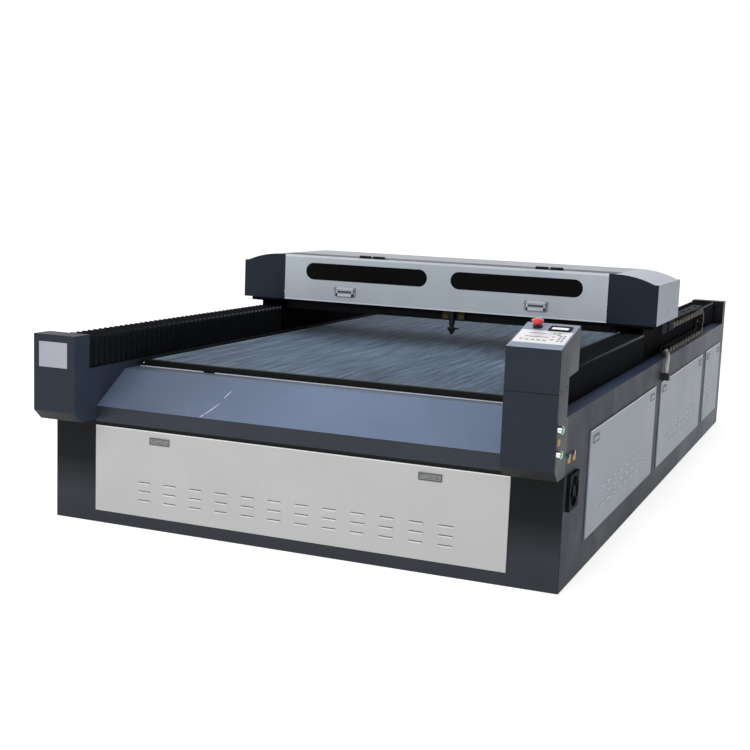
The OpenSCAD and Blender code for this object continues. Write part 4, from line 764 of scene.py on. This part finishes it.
# Bare plate on the left end box, held by four rivets
PLATE_X, PLATE_Z, PLATE_W, PLATE_H = -1005, 718, 137, 104
RIVET_R, RIVET_TOP, RIVET_T, RIVET_IN = 2.6, 1.4, 0.9, 7
plate_grey = Surface("plate_grey", (150, 153, 165), (162, 165, 176), (0.3, 0.42)).material
plate_row = (front(NOSE_Y), PLATE_X, PLATE_Z, PLATE_W, PLATE_H, *FILM)
plates("bare_plate", "keypad_film", [plate_row], material=plate_grey)
rivets = Piece("plate_rivets", "steel")
for i in (-1, 1):
    for k in (-1, 1):
        u = PLATE_X + i * (PLATE_W / 2 - RIVET_IN)
        v = PLATE_Z + k * (PLATE_H / 2 - RIVET_IN)
        rivets.disc(front(NOSE_Y), u, v, RIVET_R, RIVET_TOP, RIVET_T)
rivets.done()

# Bare tags: yellow ones on the right side; beside the laser head a darker, ochre copy of the yellow, as
# painted shade under the beam
SIDE_TAGS = ((-122, 584, 36, 24), (46, 490, 40, 20), (123, 488, 40, 20))
HEAD_X, CARRIAGE_Y = 65, 1704
HEAD_TAG_X, HEAD_TAG_Z, HEAD_TAG_W, HEAD_TAG_H = 43, 818, 30, 38
tag_yellow = Surface("tag_yellow", (168, 124, 28), (184, 140, 40), (0.4, 0.55), spec=0.2).material
# A darker copy of the tags' yellow: painted shade
tag_yellow_in_shade = Surface(
    "tag_yellow_in_shade", (84, 68, 24), (108, 88, 34), (0.4, 0.55), size=80.0, spec=0.2,
).material
plates("bare_tags", "keypad_film", [
    (right(HALF_W), *tag, *TAG) for tag in SIDE_TAGS
], material=tag_yellow)
plates("bare_head_tags", "keypad_film", [
    (front(CARRIAGE_Y), HEAD_X + k * HEAD_TAG_X, HEAD_TAG_Z, HEAD_TAG_W, HEAD_TAG_H, *TAG)
    for k in (-1, 1)
], "carriage", tag_yellow_in_shade)

# Plain fields on the keypad: red and green keys, two long fields and a block of small keys
RED_KEYS = ((-70, 84, 12, 9), (37, 122, 13, 9))
GREEN_KEYS = ((-48, 79), (-27, 79), (-6, 79), (15, 79), (34, 157), (50, 160), (39, 92), (52, 142))
GREEN_W, GREEN_H = 13, 10
LONG_FIELDS = ((-28, 152, 62, 7), (-20, 113, 86, 7))
SMALL_U, SMALL_V = (62, 76), (80, 98, 116, 134)
SMALL_W, SMALL_H = 9, 11
lilac = Surface("key_lilac", (150, 146, 172), (170, 166, 190), (0.35, 0.45)).material
green_fields = [(u, v, GREEN_W, GREEN_H) for u, v in GREEN_KEYS]
small_fields = [(u, v, SMALL_W, SMALL_H) for u in SMALL_U for v in SMALL_V]
key_pieces = (
    ("keys_red", "red_plastic", RED_KEYS, None),
    ("keys_green", "green_plastic", green_fields, None),
    ("keys_long", "keypad_film", [*LONG_FIELDS, *small_fields], lilac),
)
for name, slot, fields, material in key_pieces:
    plates(name, slot, [(console, *field, *KEY) for field in fields], material=material)

# Dark glass inside the display's frame and the lit screen on it
LCD_U, LCD_V = 40, 212
GLASS_W, GLASS_H = 63.6, 31.6
SCREEN_W, SCREEN_H, SCREEN_DOWN = 60, 22, 4
glass_row = (console, LCD_U, LCD_V, GLASS_W, GLASS_H, *GLASS)
screen_row = (console, LCD_U, LCD_V - SCREEN_DOWN, SCREEN_W, SCREEN_H, *SCREEN)
screen_glow = Surface("screen_glow", (226, 228, 236), (238, 240, 246), (0.15, 0.22), bump=0.005)
screen_glow.glow(linear((236, 238, 246)), SCREEN_GLOW)
plates("display_glass", "black_plastic", [glass_row], material=finish_of("window_acrylic"))
plates("display_screen", "keypad_film", [screen_row], material=screen_glow.material)

# Dark joint round the pedestal below the console, seams of the right skin between the doors,
# and the black clip on the table's rim
JOINT_Z = 756
JOINT_Y, JOINT_L, JOINT_H, JOINT_FRONT_H = 91, 130, 2, 4
SEAM_Y = (1790, 3300)
SEAM_W, SEAM_IN = 8, 12
CLIP_X, CLIP_Z, CLIP_W, CLIP_H = -544, 635, 54, 10
black_trim = finish_of("paint_black")
plates("console_joint", "black_plastic", [
    (front(NOSE_Y), CONSOLE_X, JOINT_Z, 2 * CONSOLE_HALF_W - 2, JOINT_FRONT_H, *TRIM),
    (right(HALF_W), -JOINT_Y, JOINT_Z, JOINT_L, JOINT_H, *TRIM),
    (left(CONSOLE_X - CONSOLE_HALF_W), JOINT_Y, JOINT_Z, JOINT_L, JOINT_H, *TRIM),
], material=black_trim)
plates("skin_seams", "black_plastic", [
    (right(HALF_W), y, DECK_Z / 2, SEAM_W, DECK_Z - SEAM_IN, *SEAM) for y in SEAM_Y
], material=black_trim)
plates("rim_clip", "black_plastic", [
    (front(TABLE_Y), CLIP_X, CLIP_Z, CLIP_W, CLIP_H, *CLIP),
], material=black_trim)

# Black collar of the emergency stop
ESTOP_U, ESTOP_V, ESTOP_R, ESTOP_H = -46.6, 217, 16.5, 10
ESTOP_STEM_R = 8.8
COLLAR_OUT, COLLAR_IN, COLLAR_LID = 0.8, 0.1, 0.4
collar = Piece("estop_collar", "black_plastic")
collar_r = ESTOP_R + COLLAR_OUT
collar.ring(console, ESTOP_U, ESTOP_V, collar_r, ESTOP_R + COLLAR_IN, ESTOP_H, PLATE_T)
collar.ring(console, ESTOP_U, ESTOP_V, collar_r, ESTOP_STEM_R, COLLAR_LID, PLATE_T + ESTOP_H)
collar.done()

# Bright sleeves on the two ports
PORT_Y, PORT_Z = (14, 91), 513
SLEEVE_R, PORT_R, BORE_R = 7.5, 7.05, 3.4
SLEEVE_L, PORT_L, LID_T = 6, 10, 0.4
sleeves = Piece("port_sleeves", "chrome")
for y in PORT_Y:
    sleeves.ring(right(HALF_W), y, PORT_Z, SLEEVE_R, PORT_R, SLEEVE_L)
    sleeves.ring(right(HALF_W), y, PORT_Z, PORT_R, BORE_R, LID_T, PORT_L)
sleeves.done()

# Grey rims of the latches on the front panel and the side doors
DOORS = ((363, 1370), (1873, 1370), (3383, 600))
LATCH_W, LATCH_H, LATCH_RIM, RIM_T = 95, 30, 7, 0.5
FRONT_LATCH_X, FRONT_LATCH_Z = 590, 376
SIDE_LATCH_IN, SIDE_LATCH_Z = 90, 506
rims = Piece("front_latch_rims", "steel", "front_panel", latch_and_shade_grey.material)
for x in (-FRONT_LATCH_X, FRONT_LATCH_X):
    rims.rim(front(-LATCH_OUT), x, FRONT_LATCH_Z, LATCH_W, LATCH_H, LATCH_RIM - 1, RIM_T)
rims.done()
side_latches = right(HALF_W + LATCH_OUT)
for number, (start, length) in enumerate(DOORS, 1):
    rims = Piece(f"side_latch_rims_{number}", "steel", f"door_{number}", latch_and_shade_grey.material)
    for y in (start + SIDE_LATCH_IN, start + length - SIDE_LATCH_IN):
        rims.rim(side_latches, y, SIDE_LATCH_Z, LATCH_W, LATCH_H, LATCH_RIM, RIM_T)
    rims.done()

# Pressed tongues behind the louvre slots, grey on the front panel as painted shade and white on the side
# doors as painted highlight, and a painted highlight along the top of each door
LOUVRE_W, LOUVRE_PITCH, LOUVRE_ROW, LOUVRE_CUT, LOUVRE_ROWS = 58, 120, 38, 4, 3
TONGUE_OVER = 6
DOOR_SHEET = 2
TONGUE = (0.8, -DOOR_SHEET - 0.9, 0.2)
EDGE_DOWN, EDGE_IN, EDGE_H = 2, 6, 3.2
# White of the painted highlights on the door edges and the side doors' tongues
highlight_white = Surface("highlight_white", (222, 223, 222), (232, 233, 232), (0.35, 0.5)).material


def dress_door(tag, body, plane, start, length, inset, low, top_z, paint):
    """Tongues for the slots, from an inset at each end of a door, in a paint that stands for their light and
    shade, and a painted highlight along the door's top edge.
    """
    columns = round((length - 2 * inset) / LOUVRE_PITCH) + 1
    places = [
        (start + inset + column * LOUVRE_PITCH, low + row * LOUVRE_ROW + LOUVRE_CUT / 2)
        for column in range(columns) for row in range(LOUVRE_ROWS)
    ]
    plates(f"louvre_tongues_{tag}", "paint_light", [
        (plane, u, v, LOUVRE_W + TONGUE_OVER, LOUVRE_CUT + TONGUE_OVER, *TONGUE) for u, v in places
    ], body, paint)
    plates(f"door_edge_{tag}", "paint_light", [
        (plane, start + length / 2, top_z - EDGE_DOWN, length - EDGE_IN, EDGE_H, *TRIM),
    ], body, highlight_white)


# Start and length of the front panel, then insets, first rows and tops of panel and doors
PANEL_START, PANEL_L = -900, 1800
PANEL_INSET, LONG_INSET, SHORT_INSET = 240, 265, 180
PANEL_LOW, PANEL_TOP = 120, 417
DOOR_LOW, DOOR_TOP = 206, 547
LONG_DOOR = 1000
dress_door(
    "front", "front_panel", front(-DOOR_OUT), PANEL_START, PANEL_L, PANEL_INSET,
    PANEL_LOW, PANEL_TOP, latch_and_shade_grey.material,
)
side_doors = right(HALF_W + DOOR_OUT)
for number, (start, length) in enumerate(DOORS, 1):
    inset = LONG_INSET if length > LONG_DOOR else SHORT_INSET
    dress_door(
        number, f"door_{number}", side_doors, start, length, inset, DOOR_LOW, DOOR_TOP, highlight_white,
    )

# Handles of the flap: bright band, grey line and end marks on the plate, dark ends on the bail
HANDLE_X, HANDLE_Z, HANDLE_T, GRIP_Z = 511, 900, 3, 884
BAND_W, BAND_H, BAND_T, BAND_Z = 94, 18, 0.8, HANDLE_Z + 14
LINE_H, LINE_T = 8, 0.6
MARK_X, MARK_W, MARK_H = 50.5, 6, 15
END_X, END_W, END_H, END_T = 43.4, 9, 15, 9
handle_face = front(GANTRY_Y - HANDLE_T)
grip_face = front(GANTRY_Y - HANDLE_T - LINE_T)
bands = Piece("handle_bands", "chrome", "flap", bail_silver.material)
lines = Piece("handle_lines", "steel", "flap", line_grey.material)
ends = Piece("handle_ends", "black_plastic", "handles")
for x in (-HANDLE_X, HANDLE_X):
    bands.slab(handle_face, x, BAND_Z, BAND_W, BAND_H, BAND_T)
    lines.slab(handle_face, x, HANDLE_Z, BAND_W, LINE_H, LINE_T)
    for k in (-1, 1):
        lines.slab(handle_face, x + k * MARK_X, BAND_Z, MARK_W, MARK_H, LINE_T)
        ends.slab(grip_face, x + k * END_X, GRIP_Z, END_W, END_H, END_T)
bands.done()
lines.done()
ends.done()

# Screws: console, left panels, rear sheet, hinges and table bars
CONSOLE_SCREWS, CONSOLE_SCREW_R = ((-122, 769), (-57, 772)), 4.5
SHEET_SCREW_R, PANEL_IN, PANEL_SCREW_Z = 4, 12, (128, 535)
REAR_SCREW_X, REAR_SCREW_Z = (-1050, -525, 0, 525, 1050), (30, 410)
HINGE_X, HINGE_Y, HINGE_T = (-412, -338, 524, 598), 1683, 3
HINGE_SCREW_X, HINGE_SCREW_R = 20, 3
BAR_X, BAR_Z, BAR_SCREW_R = 874, 645, 5
screws("console_screws", "black_plastic", [
    (right(HALF_W), y, z, CONSOLE_SCREW_R) for y, z in CONSOLE_SCREWS
])
panel_screws = [
    (left(-HALF_W - DOOR_OUT), -y, z, SHEET_SCREW_R)
    for start, length in DOORS
    for y in (start + PANEL_IN, start + length / 2, start + length - PANEL_IN)
    for z in PANEL_SCREW_Z
]
rear_screws = [
    (back(BASE_L), x, z, SHEET_SCREW_R) for x in REAR_SCREW_X for z in REAR_SCREW_Z
]
screws("sheet_screws", "chrome", panel_screws + rear_screws)
screws("hinge_screws", "chrome", [
    (top(GANTRY_TOP + HINGE_T), x + k * HINGE_SCREW_X, HINGE_Y, HINGE_SCREW_R)
    for x in HINGE_X for k in (-1, 1)
], "gantry")
screws("table_screws", "chrome", [
    (bar, k * x, BAR_Z, BAR_SCREW_R)
    for x in (-BAR_X, BAR_X)
    for bar, k in ((front(TABLE_Y), 1), (back(BASE_L - TABLE_Y), -1))
])

# Scratches on the apron
APRON_LOW, APRON_HIGH, APRON_RUN = 497, 630, 210
SCRATCH_W = 5
SCRATCHES = (
    [(-356, 128), (-354, 144), (-350, 160), (-344, 178)],
    [(-398, 22), (-386, 42), (-373, 66), (-362, 94)],
    [(-408, 4), (-403, 12), (-398, 20)],
)
scratch = Surface("scratch", (206, 212, 222), (228, 232, 240), (0.4, 0.5)).material
marks = Piece("apron_scratches", "paint_apron", material=scratch)
apron_slope = (0, 1, (APRON_HIGH - APRON_LOW) / APRON_RUN)
apron = face((0, -SHEET, APRON_LOW), (1, 0, 0), apron_slope)
for points in SCRATCHES:
    marks.strip(apron, points, SCRATCH_W)
marks.done()

# Floor
FLOOR = 60
floor = add("floor", bpy.data.meshes.new("floor"))
floor_corners = [(-FLOOR, -FLOOR, 0), (FLOOR, -FLOOR, 0), (FLOOR, FLOOR, 0), (-FLOOR, FLOOR, 0)]
floor.data.from_pydata(floor_corners, [], [(0, 1, 2, 3)])
floor_surface = Surface("floor", (236, 236, 237), (240, 240, 241), (0.7, 0.8), bump=0.0)
floor_surface.glow(WHITE, FLOOR_GLOW)
floor.data.materials.append(floor_surface.material)

# Sky: dim in front of the machine, bright behind it on the left
SKY_FRONT, SKY_LEFT, SKY_RIGHT = 0.36, 1.0, 0.25
world = bpy.data.worlds.new("studio")
world.use_nodes = True
bpy.context.scene.world = world
tree = world.node_tree
sky = tree.nodes["Background"]
sky.inputs["Color"].default_value = WHITE
split = tree.nodes.new("ShaderNodeSeparateXYZ")
direction = tree.nodes.new("ShaderNodeTexCoord").outputs["Generated"]
tree.links.new(direction, split.inputs["Vector"])


def fade(axis, far, start, end):
    """A strength that changes along an axis of the sky, from the middle to a place far out."""
    mapped = tree.nodes.new("ShaderNodeMapRange")
    mapped.inputs["From Min"].default_value = 0.0
    mapped.inputs["From Max"].default_value = far
    mapped.inputs["To Min"].default_value = start
    if isinstance(end, float):
        mapped.inputs["To Max"].default_value = end
    else:
        tree.links.new(end, mapped.inputs["To Max"])
    tree.links.new(split.outputs[axis], mapped.inputs["Value"])
    return mapped.outputs["Result"]


behind = fade("X", 0.25, SKY_LEFT, SKY_RIGHT)
tree.links.new(fade("Y", 0.5, SKY_FRONT, behind), sky.inputs["Strength"])

# Two large soft lights aimed at the machine
LIGHT_AIM = Vector((0, 0, 0.6))


def softbox(name, place, size, power):
    light = bpy.data.lights.new(name, "AREA")
    light.shape = "RECTANGLE"
    light.size, light.size_y = size
    light.energy = power
    lamp = add(name, light)
    lamp.location = place
    lamp.rotation_euler = (LIGHT_AIM - Vector(place)).to_track_quat("-Z", "Y").to_euler()


softbox("right_softbox", (7, 1, 3.2), (5, 4), 8)
softbox("front_softbox", (-1, -8, 5), (6, 4), 240)
